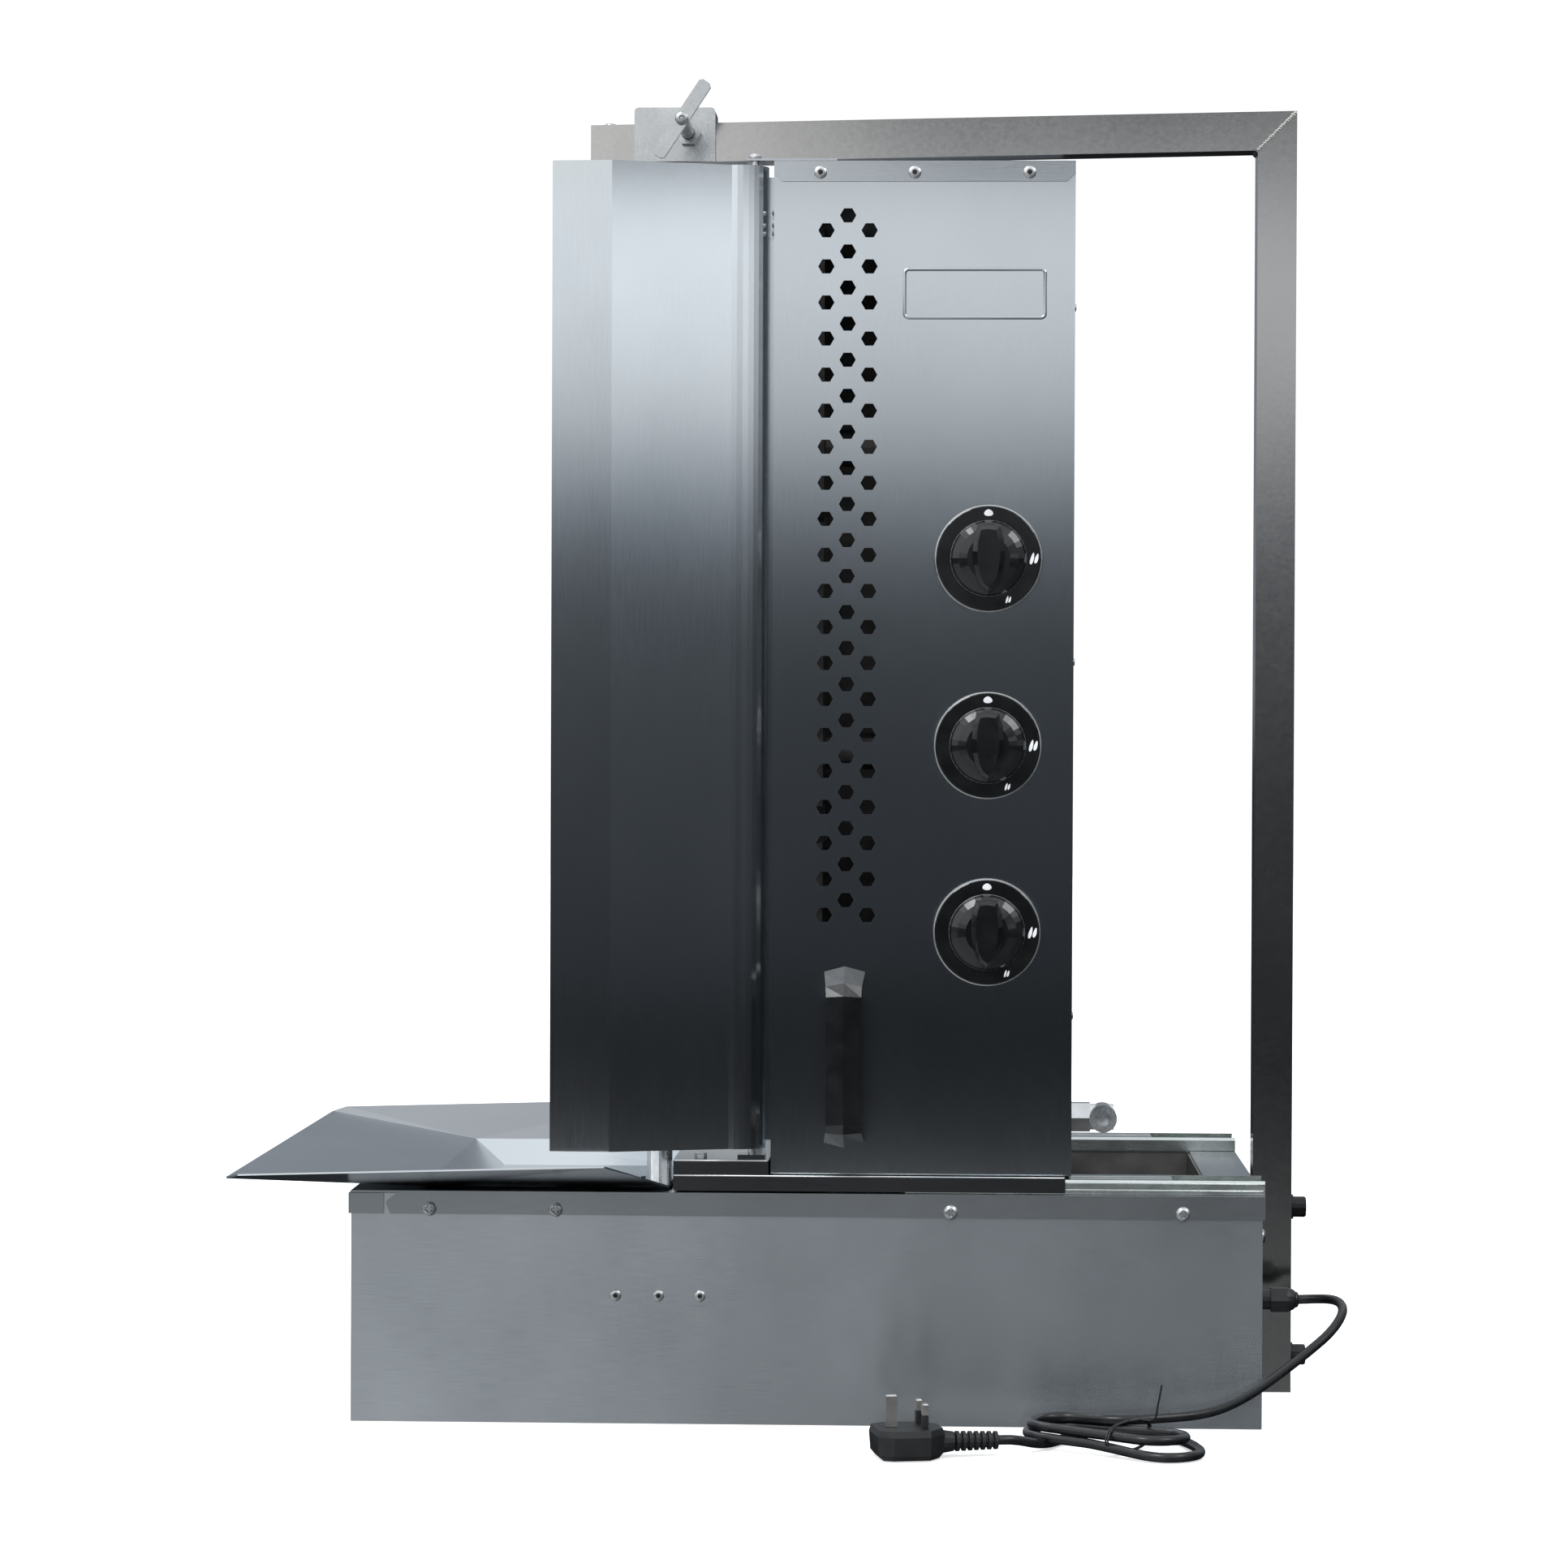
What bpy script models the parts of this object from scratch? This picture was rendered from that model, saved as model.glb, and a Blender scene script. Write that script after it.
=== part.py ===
"""Upright gas doner grill (vertical rotisserie) with three burners on a sliding carriage.

Metres, +Z up. The origin is the centre of the base's underside. +X runs back to the mast,
-X is the operator's side, and -Y is the control side.
"""

import math

import bmesh
import bpy
from mathutils import Vector

# Base
BASE_HX, BASE_HY = 0.334, 0.200
SHEET = 0.0015
GAP = 0.0003
DECK_Z = 0.170
RIM_LOW = 0.153
# Catch pan
SPIT_X = -0.120
PAN_FRONT, PAN_REAR, PAN_HY = -0.283, -0.101, 0.183
PAN_DEPTH, PAN_INSET = 0.018, 0.026
WING_FRONT_X, WING_FRONT_Z = -0.414, 0.1855
WING_Y, WING_REAR_X, WING_REAR_Z = 0.2865, -0.141, 0.196
# Drive and spit
SHAFT_R = 0.010
DISC_R, DISC_Z = 0.080, 0.228
SPIT_TOP = 0.942
# Carriage
SLED_FRONT, SLED_REAR, SLED_TOP = -0.097, 0.190, 0.1824
LEDGE_REAR, LEDGE_TOP = -0.0272, 0.1935
BOX_FRONT, BOX_REAR, BOX_HY = -0.026, 0.1946, 0.190
BOX_BOTTOM, BOX_TOP = 0.1830, 0.926
COVER_SKIRT = 0.911
VENT_X = (0.0125, 0.0283, 0.0441)
VENT_PITCH, VENT_ROWS, VENT_TOP, VENT_R = 0.0264, 20, 0.8862, 0.006
KNOB_X = 0.132
KNOB_Z = (0.3617, 0.4984, 0.6351)
KNOB_D, SKIRT_D = 0.0555, 0.078
HANDLE_X, HANDLE_LOW, HANDLE_HIGH, HANDLE_OUT = 0.028, 0.2025, 0.336, 0.036
RAIL_Y0, RAIL_Y1 = 0.150, 0.195
GAS_Y, GAS_Z = -0.062, 0.2156
# Doors
HINGE_X, HINGE_Y = -0.040, 0.186
ROLL_X, ROLL_Y, ROLL_R = -0.050, 0.181, 0.020
DOOR_ANGLE = 19.0
DOOR_FOLD_X = -0.142
DOOR_EDGE = (-0.1855, -0.2265)
DOOR_LOW, DOOR_HIGH, DOOR_T = 0.202, 0.922, 0.0012
# Mast
TUBE = 0.030
MAST_X, MAST_TOP = 0.339, 0.9864
ARM_FRONT, ARM_DROP = -0.175, 0.0104
# Top bracket and clamp
SADDLE_X0, SADDLE_X1, SADDLE_LOW, SADDLE_TOP = -0.141, -0.0784, 0.9475, 0.989
CLAMP_X, CLAMP_Z = -0.099, 0.9685
CLAMP_OUT, TBAR_TILT = -0.105, 56.6
# Mains lead
GLAND_Y, GLAND_Z = -0.100, 0.0824
CORD_D = 0.007
PLUG_X, PLUG_Y, PLUG_TURN = 0.0770, -0.3390, 12.0

STEEL = (0.55, 0.56, 0.57)
made = {}


def clear():
    for obj in list(bpy.data.objects):
        bpy.data.objects.remove(obj, do_unlink=True)


def look(obj, colour, rough=0.35, metal=1.0):
    mat = bpy.data.materials.new(obj.name)
    mat.use_nodes = True
    shader = mat.node_tree.nodes["Principled BSDF"]
    shader.inputs["Base Color"].default_value = (*colour, 1)
    shader.inputs["Roughness"].default_value = rough
    shader.inputs["Metallic"].default_value = metal
    obj.data.materials.clear()
    obj.data.materials.append(mat)
    made[obj.name] = obj
    return obj


def new(name, verts, faces):
    mesh = bpy.data.meshes.new(name)
    mesh.from_pydata([tuple(v) for v in verts], [], faces)
    bm = bmesh.new()
    bm.from_mesh(mesh)
    bmesh.ops.recalc_face_normals(bm, faces=bm.faces)
    bm.to_mesh(mesh)
    bm.free()
    obj = bpy.data.objects.new(name, mesh)
    bpy.context.scene.collection.objects.link(obj)
    return obj


def prism(name, outline, axis, low, high):
    """A closed 2-D outline pushed along an axis: the outline is in the other two axes, in XYZ order."""
    def at(p, h):
        q = [p[0], p[1]]
        q.insert("XYZ".index(axis), h)
        return q
    n = len(outline)
    verts = [at(p, low) for p in outline] + [at(p, high) for p in outline]
    faces = [list(range(n)), list(range(n, 2 * n))]
    faces += [[i, (i + 1) % n, n + (i + 1) % n, n + i] for i in range(n)]
    return new(name, verts, faces)


def box(name, x, y, z):
    return prism(name, [(x[0], y[0]), (x[1], y[0]), (x[1], y[1]), (x[0], y[1])], "Z", *z)


def circle(cx, cy, r, n, start=0.0):
    return [(cx + r * math.cos(start + 2 * math.pi * i / n),
             cy + r * math.sin(start + 2 * math.pi * i / n)) for i in range(n)]


def rod(name, axis, centre, r, low, high, n=24, start=0.0):
    return prism(name, circle(*centre, r, n, start), axis, low, high)


def rings(name, sections):
    """Lofts closed rings of equal count into one solid with capped ends."""
    n = len(sections[0])
    verts = [v for ring in sections for v in ring]
    faces = [list(range(n)), [(len(sections) - 1) * n + i for i in range(n)]]
    for k in range(len(sections) - 1):
        a, b = k * n, (k + 1) * n
        faces += [[a + i, a + (i + 1) % n, b + (i + 1) % n, b + i] for i in range(n)]
    return new(name, verts, faces)


def turned(name, axis, centre, profile, n=32):
    """A solid of revolution: profile is (radius, height along the axis) from one end to the other."""
    def at(p, h):
        q = [p[0], p[1]]
        q.insert("XYZ".index(axis), h)
        return q
    return rings(name, [[at(p, h) for p in circle(*centre, r, n)] for r, h in profile])


def combine(target, other, how):
    mod = target.modifiers.new(how.lower(), "BOOLEAN")
    mod.operation = how
    mod.solver = "EXACT"
    mod.object = other
    other.hide_render = True
    other.display_type = "WIRE"
    return target


def cut(target, other):
    return combine(target, other, "DIFFERENCE")


def add(target, other):
    return combine(target, other, "UNION")


def smooth(obj, angle=35):
    obj.data.shade_smooth()
    obj.data.set_sharp_from_angle(angle=math.radians(angle))
    return obj


def sheet_line(points, t, side):
    """Offsets an open polyline by t to one side and closes it, for a bent sheet's section."""
    out = []
    for i, p in enumerate(points):
        a = Vector(points[max(i - 1, 0)])
        b = Vector(points[min(i + 1, len(points) - 1)])
        p = Vector(p)
        d0 = (p - a).normalized() if i else (b - p).normalized()
        d1 = (b - p).normalized() if i < len(points) - 1 else d0
        n0 = Vector((-d0.y, d0.x)) * side
        n1 = Vector((-d1.y, d1.x)) * side
        m = (n0 + n1).normalized()
        out.append(tuple(p + m * t / max(m.dot(n0), 0.3)))
    return list(points) + out[::-1]


# Base

def base_shell():
    x, y, t = BASE_HX, BASE_HY, SHEET
    shell = box("base_shell", (-x, x), (-y, y), (0, 0.1680))
    cut(shell, box("base_shell_cut", (-x + t, x - t), (-y + t, y - t), (-0.01, 0.2)))
    cut(shell, rod("gland_hole", "X", (GLAND_Y, GLAND_Z), 0.0082, x - 0.01, x + 0.01, 24))
    look(shell, STEEL, 0.38)
    lip, z = 0.0018, (0, 0.0015)
    floor = box("base_floor", (-x + lip, x - lip), (-y + lip, y - lip), z)
    for k, cx in enumerate((-0.24, -0.08, 0.08, 0.24)):
        for j in range(4):
            slot = box(f"floor_slot_{k}{j}", (cx - 0.035, cx + 0.035),
                       (-0.05 + 0.03 * j, -0.042 + 0.03 * j), (-0.01, 0.01))
            cut(floor, slot)
    look(floor, (0.5, 0.51, 0.51), 0.45)


def deck():
    x0, x1, y, t = -BASE_HX - GAP, BASE_HX + GAP + SHEET, BASE_HY + GAP + SHEET, SHEET
    plate = box("deck_plate", (x0 + 0.0003, x1), (-y, y), (RIM_LOW, DECK_Z))
    cut(plate, box("deck_under", (-0.5, x1 - t), (-y + t, y - t), (0, DECK_Z - t)))
    for s in (-1, 1):
        edge = s * y
        clip = prism(f"rim_start_{s}", [(-0.5, 0.14), (-0.300, 0.14), (-0.3085, 0.1615),
                                        (-0.300, 0.16845), (-0.5, 0.16845)], "Y",
                     edge - 0.004, edge + 0.004)
        cut(plate, clip)
    pan = box("pan_opening", (PAN_FRONT - 0.001, PAN_REAR + 0.002),
              (-PAN_HY - 0.001, PAN_HY + 0.001), (0.1, 0.2))
    cut(plate, pan)
    cut(plate, box("well_opening", (-0.050, 0.299), (-0.155, 0.155), (0.1, 0.2)))
    look(plate, (0.62, 0.63, 0.64), 0.3)
    nose = box("rim_front", (-0.3358, -0.3098), (-y, y), (RIM_LOW, 0.1681))
    cut(nose, box("rim_front_cut", (-0.3343, 0), (-y + t, y - t), (0, 0.2)))
    look(nose, (0.6, 0.61, 0.62), 0.32)


def well():
    x0, x1, y, z0, t = -0.0496, 0.2986, 0.1546, 0.112, 0.0012
    tray = box("well_liner", (x0, x1), (-y, y), (z0, 0.1675))
    lip = box("well_lip", (x0 - 0.009, x1 + 0.009), (-y - 0.009, y + 0.009), (0.1663, 0.1682))
    add(tray, lip)
    cut(tray, box("well_cut", (x0 + t, x1 - t), (-y + t, y - t), (z0 + t, 0.2)))
    look(tray, (0.28, 0.27, 0.26), 0.5)


def motor():
    shelf = box("motor_shelf", (-0.165, -0.065), (-0.1982, 0.1982), (0.086, 0.104))
    cut(shelf, box("shelf_cut", (-0.2, 0), (-0.1967, 0.1967), (0.0875, 0.2)))
    cut(shelf, rod("shelf_hole", "Z", (SPIT_X, 0), 0.0335, 0.05, 0.12, 32))
    look(shelf, (0.5, 0.5, 0.5), 0.45)
    gear = box("gear_motor", (SPIT_X - 0.043, SPIT_X + 0.043), (-0.043, 0.043), (0.0878, 0.121))
    add(gear, rod("motor_can", "Z", (SPIT_X, 0), 0.031, 0.022, 0.1, 32))
    add(gear, rod("gear_boss", "Z", (SPIT_X, 0), 0.015, 0.11, 0.1285, 32))
    look(gear, (0.25, 0.26, 0.28), 0.5)


def slides():
    """Ball slides lying flat, one on each side of the deck."""
    for name, s in (("right", -1), ("left", 1)):
        def yz(points):
            return [(s * y, z) for y, z in points]
        a, b = RAIL_Y0, RAIL_Y1
        low, top, t = DECK_Z + GAP, 0.1806, 0.0012
        outer = [(a, low), (b, low), (b, top - 0.002), (b - 0.002, top), (b - 0.0045, top),
                 (b - 0.0045, top - t), (b - 0.0024, top - t), (b - t, top - 0.0024),
                 (b - t, low + t), (a + t, low + t), (a + t, top - 0.0024),
                 (a + 0.0024, top - t), (a + 0.0045, top - t), (a + 0.0045, top),
                 (a + 0.002, top), (a, top - 0.002)]
        rail = prism(f"slide_outer_{name}", yz(outer), "X", 0.073, 0.336)
        look(rail, (0.6, 0.63, 0.6), 0.35)
        c, d, foot = a + 0.0052, b - 0.0052, 0.1725
        inner = [(c, foot), (c + t, foot), (c + t, top - t), (d - t, top - t), (d - t, foot),
                 (d, foot), (d, top), (d - 0.009, top), (d - 0.0105, top - 0.0006),
                 (d - 0.012, top), (c + 0.012, top), (c + 0.0105, top - 0.0006),
                 (c + 0.009, top), (c, top)]
        look(prism(f"slide_inner_{name}", yz(inner), "X", 0.015, 0.269), (0.62, 0.65, 0.62), 0.3)


# Mast

def mast():
    """Square tube: the mast and the arm are mitred and welded into one piece, the arm drooping."""
    x0, x1, h, w = MAST_X, MAST_X + TUBE, TUBE / 2, 0.0015
    front_top = MAST_TOP - ARM_DROP
    side = [(x0, 0.0), (x1, 0.0), (x1, MAST_TOP), (ARM_FRONT, front_top),
            (ARM_FRONT, front_top - TUBE), (x0, MAST_TOP - TUBE - 0.0004)]
    tube = prism("mast_frame", side, "Y", -h, h)
    core = [(x0 + w, -0.01), (x1 - w, -0.01), (x1 - w, MAST_TOP - w),
            (ARM_FRONT + w, front_top - w), (ARM_FRONT + w, front_top - TUBE + w),
            (x0 + w, MAST_TOP - TUBE + w - 0.0004)]
    cut(tube, prism("mast_core", core, "Y", -h + w, h - w))
    cut(tube, box("spit_pin_slot", (SPIT_X - 0.012, SPIT_X + 0.012), (-0.0085, 0.0085),
                  (0.93, 1.0)))
    for k, z in enumerate((0.1417, 0.0272)):
        cut(tube, rod(f"bolt_way_{k}", "X", (0, z), 0.0056, x0 - 0.01, x1 + 0.01, 16))
    look(tube, (0.42, 0.41, 0.40), 0.34)
    pad = box("mast_pad", (0.3361, 0.3387), (-0.0145, 0.0145), (0.008, 0.160))
    cut(pad, box("pad_relief", (0.33, 0.3362), (-0.02, 0.02), (0.14, 0.2)))
    lower = box("pad_spacer", (0.3343, 0.3370), (-0.0145, 0.0145), (0.008, 0.1515))
    add(pad, lower)
    for k, z in enumerate((0.1417, 0.0272)):
        cut(pad, rod(f"pad_way_{k}", "X", (0, z), 0.0056, 0.32, 0.35, 16))
    look(pad, (0.35, 0.35, 0.35), 0.5)
    for name, z in (("upper", 0.1417), ("lower", 0.0272)):
        bolt = turned(f"mast_bolt_{name}", "X", (0, z),
                      [(0.005, 0.3375), (0.005, 0.3693), (0.0095, 0.3693), (0.0095, 0.3712),
                       (0.0080, 0.3712), (0.0080, 0.3800), (0.0072, 0.3810)], 16)
        cut(bolt, rod(f"bolt_socket_{name}", "X", (0, z), 0.0042, 0.375, 0.39, 6))
        look(smooth(bolt), (0.03, 0.03, 0.03), 0.5, 0.6)


# Catch pan

def pan_points():
    a, b, h = PAN_FRONT, PAN_REAR, PAN_HY
    low = DECK_Z - PAN_DEPTH + 0.001
    i = PAN_INSET
    root = [(a, -h), (b, -h), (b, h), (a, h)]
    floor = [(a + i, -h + i), (b - 0.006, -h + i), (b - 0.006, h - i), (a + i, h - i)]
    return root, floor, low


def catch_pan():
    """Thin sheet: a shallow funnel with flared wings to the front and both sides."""
    root, floor, low = pan_points()
    c, t = 0.010, 0.0012
    front, fz = WING_FRONT_X, WING_FRONT_Z
    corner_y, corner_z = WING_Y, 0.1885
    verts, faces = [], []

    def p(x, y, z):
        verts.append((x, y, z))
        return len(verts) - 1

    rz = DECK_Z + 0.0016
    r = [p(x, y, rz) for x, y in root]
    f = [p(x, y, low) for x, y in floor]
    wing = {}
    for s, i in ((-1, 0), (1, 3)):
        wing[s] = (p(front, s * (corner_y - c), fz), p(front + c, s * corner_y, corner_z),
                   p(WING_REAR_X, s * WING_Y, WING_REAR_Z))
    top = [(r[0], f[0], f[3], r[3]), (r[1], f[1], f[0], r[0]), (r[3], f[3], f[2], r[2]),
           (r[2], f[2], f[1], r[1]), (f[0], f[1], f[2], f[3])]
    top += [(r[0], r[3], wing[1][0], wing[-1][0])]
    for s, a, b in ((-1, r[0], r[1]), (1, r[3], r[2])):
        front_v, side_v, rear_v = wing[s]
        top += [(a, front_v, side_v), (a, side_v, rear_v, b)]
    pan = new("catch_pan", verts, top)
    solid = pan.modifiers.new("sheet", "SOLIDIFY")
    solid.thickness = t
    solid.offset = 1.0
    solid.use_even_offset = True
    cut(pan, rod("pan_shaft_hole", "Z", (SPIT_X, 0), 0.0145, 0.1, 0.3, 32))
    for k in range(3):
        for j, y in enumerate((-0.060, 0.060)):
            cut(pan, box(f"drain_{k}{j}", (-0.150 + 0.011 * k, -0.146 + 0.011 * k),
                         (y - 0.012, y + 0.012), (0.1, 0.3)))
    return look(pan, (0.6, 0.6, 0.61), 0.3)


# Drive shaft, spit and meat disc

def spit():
    x = SPIT_X
    shaft = turned("drive_shaft", "Z", (x, 0), [(SHAFT_R, 0.1290), (SHAFT_R, 0.2270)], 28)
    cut(shaft, box("shaft_socket", (x - 0.0062, x + 0.0062), (-0.0062, 0.0062), (0.190, 0.24)))
    look(smooth(shaft), (0.62, 0.62, 0.62), 0.3)
    rod_ = box("spit_rod", (x - 0.0058, x + 0.0058), (-0.0058, 0.0058), (0.1925, SPIT_TOP))
    cut(rod_, rod("spit_bore", "Z", (x, 0), 0.0038, SPIT_TOP - 0.030, 1.0, 16))
    look(rod_, (0.66, 0.66, 0.66), 0.28)
    disc = turned("spit_disc", "Z", (x, 0), [(DISC_R, DISC_Z), (DISC_R, DISC_Z + 0.002)], 40)
    cut(disc, box("disc_hole", (x - 0.0062, x + 0.0062), (-0.0062, 0.0062), (0.2, 0.25)))
    look(smooth(disc), (0.64, 0.64, 0.64), 0.3)


# Carriage

def sled():
    y, t = 0.1997, 0.0012
    plate = box("sled_plate", (SLED_FRONT, SLED_REAR), (-y, y), (0.1714, SLED_TOP))
    cut(plate, box("sled_under", (SLED_FRONT + t, 0.5), (-y + t, y - t), (0, SLED_TOP - t)))
    cut(plate, box("sled_window", (0.010, 0.160), (-0.120, 0.120), (0.1, 0.3)))
    look(plate, (0.2, 0.2, 0.2), 0.3)
    ledge = box("carriage_ledge", (SLED_FRONT, LEDGE_REAR), (-y, y), (SLED_TOP + GAP, LEDGE_TOP))
    cut(ledge, box("ledge_under", (SLED_FRONT + t, 0.5), (-y + t, y - t),
                   (0, LEDGE_TOP - t)))
    for s in (-1, 1):
        foot = box(f"hinge_foot_{s}", (HINGE_X - 0.010, HINGE_X + 0.010),
                   (s * HINGE_Y - 0.010, s * HINGE_Y + 0.010), (LEDGE_TOP - 0.0006, 0.1975))
        add(ledge, foot)
        cut(ledge, rod(f"foot_hole_{s}", "Z", (HINGE_X, s * HINGE_Y), 0.0031, 0.15, 0.21, 16))
    look(ledge, (0.2, 0.2, 0.2), 0.3)


def hexagon(cx, cz, r):
    return circle(cx, cz, r, 6)


def side_panels():
    y, t = BOX_HY, 0.0012
    z = (BOX_BOTTOM, BOX_TOP - 0.0016)
    for name, s in (("right", -1), ("left", 1)):
        ys = sorted((s * y, s * (y - t)))
        panel = box(f"burner_side_{name}", (BOX_FRONT, BOX_REAR), ys, z)
        if s < 0:
            for k, x in enumerate(VENT_X):
                top = VENT_TOP - (0 if k == 1 else 0.0109)
                for j in range(VENT_ROWS):
                    hole = prism(f"vent_{k}_{j}", hexagon(x, top - VENT_PITCH * j, VENT_R),
                                 "Y", -y - 0.005, -y + 0.005)
                    cut(panel, hole)
            for k, kz in enumerate(KNOB_Z):
                cut(panel, rod(f"stem_way_{k}", "Y", (KNOB_X, kz), 0.006, -y - 0.01, -y + 0.01))
        else:
            for k in range(10):
                cut(panel, box(f"louvre_{k}", (0.010, 0.050), (y - 0.01, y + 0.01),
                               (0.40 + 0.05 * k, 0.41 + 0.05 * k)))
        look(panel, STEEL, 0.36)


def name_frame():
    """The pressed, blank plate frame on the control side."""
    x0, x1, z0, z1 = 0.0686, 0.1739, 0.810, 0.848
    y = -BOX_HY - GAP
    ring = box("badge_frame", (x0, x1), (y - 0.0010, y), (z0, z1))
    cut(ring, box("badge_cut", (x0 + 0.0025, x1 - 0.0025), (y - 0.02, y + 0.02),
                  (z0 + 0.0025, z1 - 0.0025)))
    bev = ring.modifiers.new("round", "BEVEL")
    bev.width, bev.segments = 0.0004, 1
    look(ring, (0.62, 0.63, 0.64), 0.3)


def burner_shell():
    y, t = BOX_HY - 0.0015, 0.0012
    rear = box("burner_rear", (BOX_REAR - t, BOX_REAR), (-y, y), (BOX_BOTTOM, BOX_TOP - 0.0016))
    for k in range(6):
        cut(rear, box(f"rear_slot_{k}", (0.1, 0.3), (-0.06, 0.06),
                      (0.60 + 0.045 * k, 0.612 + 0.045 * k)))
    cut(rear, rod("elbow_way", "X", (GAS_Y, GAS_Z), 0.010, 0.15, 0.25, 24))
    look(rear, STEEL, 0.4)
    front = box("burner_front", (BOX_FRONT, BOX_FRONT + t), (-y, y),
                (LEDGE_TOP + 0.0005, BOX_TOP - 0.0016))
    for k in range(3):
        z = burner_z(k)
        cut(front, box(f"burner_window_{k}", (-0.1, 0.1), (-0.150, 0.150),
                       (z - 0.105, z + 0.105)))
    look(front, (0.45, 0.44, 0.42), 0.4)
    cy = BOX_HY + 0.0015
    cover = box("burner_cover", (BOX_FRONT, BOX_REAR), (-cy, cy), (COVER_SKIRT, BOX_TOP))
    cut(cover, box("cover_under", (-0.5, 0.5), (-cy + t, cy - t), (0, BOX_TOP - t)))
    for s in (-1, 1):
        for k, (a, b) in enumerate(((BOX_FRONT, 1), (BOX_REAR, -1))):
            clip = prism(f"skirt_corner_{s}{k}", [(a - b * 0.01, 0.905), (a + b * 0.006, 0.905),
                         (a + b * 0.006, 0.9111), (a, 0.917), (a - b * 0.01, 0.917)], "Y",
                         s * cy - 0.003, s * cy + 0.003)
            cut(cover, clip)
    look(cover, (0.13, 0.135, 0.14), 0.25)


def burner_z(k):
    return 0.3245 + 0.2290 * k


def burners():
    for k in range(3):
        z = burner_z(k)
        tile = box(f"burner_{k + 1}", (-0.0235, 0.010), (-0.146, 0.146), (z - 0.101, z + 0.101))
        cut(tile, box(f"burner_face_{k}", (-0.03, -0.0190), (-0.140, 0.140),
                      (z - 0.095, z + 0.095)))
        throat = rod(f"throat_{k}", "X", (-0.080, z - 0.060), 0.014, 0.005, 0.060, 24)
        add(tile, throat)
        look(tile, (0.75, 0.66, 0.55), 0.8, 0.0)


def gas_train():
    x, y = KNOB_X, -0.158
    pipe = rod("gas_manifold", "Z", (x, y), 0.008, GAS_Z, 0.675, 16)
    add(pipe, rod("feed", "Y", (x, GAS_Z), 0.0079, y, GAS_Y, 14))
    add(pipe, rod("feed_tail", "X", (GAS_Y, GAS_Z), 0.0078, x - 0.006, 0.1975, 14))
    for k, z in enumerate(KNOB_Z):
        body = box(f"valve_body_{k}", (x - 0.011, x + 0.011), (-0.184, -0.152),
                   (z - 0.014, z + 0.014))
        add(pipe, body)
        cut(pipe, rod(f"valve_bore_{k}", "Y", (x, z), 0.0034, -0.20, -0.160, 16))
    look(smooth(pipe), (0.62, 0.55, 0.35), 0.4)
    elbow = prism("gas_elbow", circle(GAS_Y, GAS_Z, 0.0125, 6), "X", 0.1979, 0.212)
    add(elbow, rod("elbow_knee", "X", (GAS_Y, GAS_Z), 0.0098, 0.205, 0.2300, 20))
    add(elbow, rod("elbow_mouth", "Y", (0.2216, GAS_Z), 0.0105, GAS_Y - 0.018, GAS_Y + 0.010, 24))
    cut(elbow, rod("elbow_bore", "Y", (0.2216, GAS_Z), 0.0058, GAS_Y - 0.05, GAS_Y, 20))
    look(smooth(elbow), (0.7, 0.72, 0.72), 0.3)


def hinge_plates():
    for name, s in (("right", -1), ("left", 1)):
        y0, y1 = sorted((s * 0.1905, s * 0.160))
        plate = box(f"hinge_plate_{name}", (HINGE_X - 0.0065, 0.020), (y0, y1),
                    (BOX_TOP + GAP, BOX_TOP + 0.0019))
        cut(plate, rod(f"plate_hole_{name}", "Z", (HINGE_X, s * HINGE_Y), 0.0031, 0.9, 0.95, 16))
        look(plate, (0.55, 0.56, 0.57), 0.35)


def handle():
    """Bow handle: one faceted bar with a ridge down its middle and flared feet on the panel."""
    x, y0, z0, z1 = HANDLE_X, -BOX_HY - GAP, HANDLE_LOW, HANDLE_HIGH

    def ring(w, ridge, edge, inner):
        return [(x, *ridge), (x + w, *edge), (x + w * 0.84, *inner), (x - w * 0.84, *inner),
                (x - w, *edge)]
    out = y0 - HANDLE_OUT
    stations = [
        ring(0.0150, (y0, z1), (y0, z1 - 0.004), (y0, z1 - 0.020)),
        ring(0.0132, (out + 0.004, z1 - 0.0105), (out + 0.0075, z1 - 0.0135),
             (out + 0.0140, z1 - 0.0265)),
        ring(0.0128, (out, z1 - 0.0200), (out + 0.004, z1 - 0.0210), (out + 0.012, z1 - 0.0290)),
        ring(0.0128, (out, z0 + 0.0200), (out + 0.004, z0 + 0.0190), (out + 0.012, z0 + 0.0290)),
        ring(0.0132, (out + 0.004, z0 + 0.0125), (out + 0.0075, z0 + 0.0135),
             (out + 0.0140, z0 + 0.0265)),
        ring(0.0150, (y0, z0), (y0, z0 + 0.004), (y0, z0 + 0.020))]
    look(rings("handle", stations), (0.02, 0.02, 0.02), 0.12, 0.0)


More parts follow.
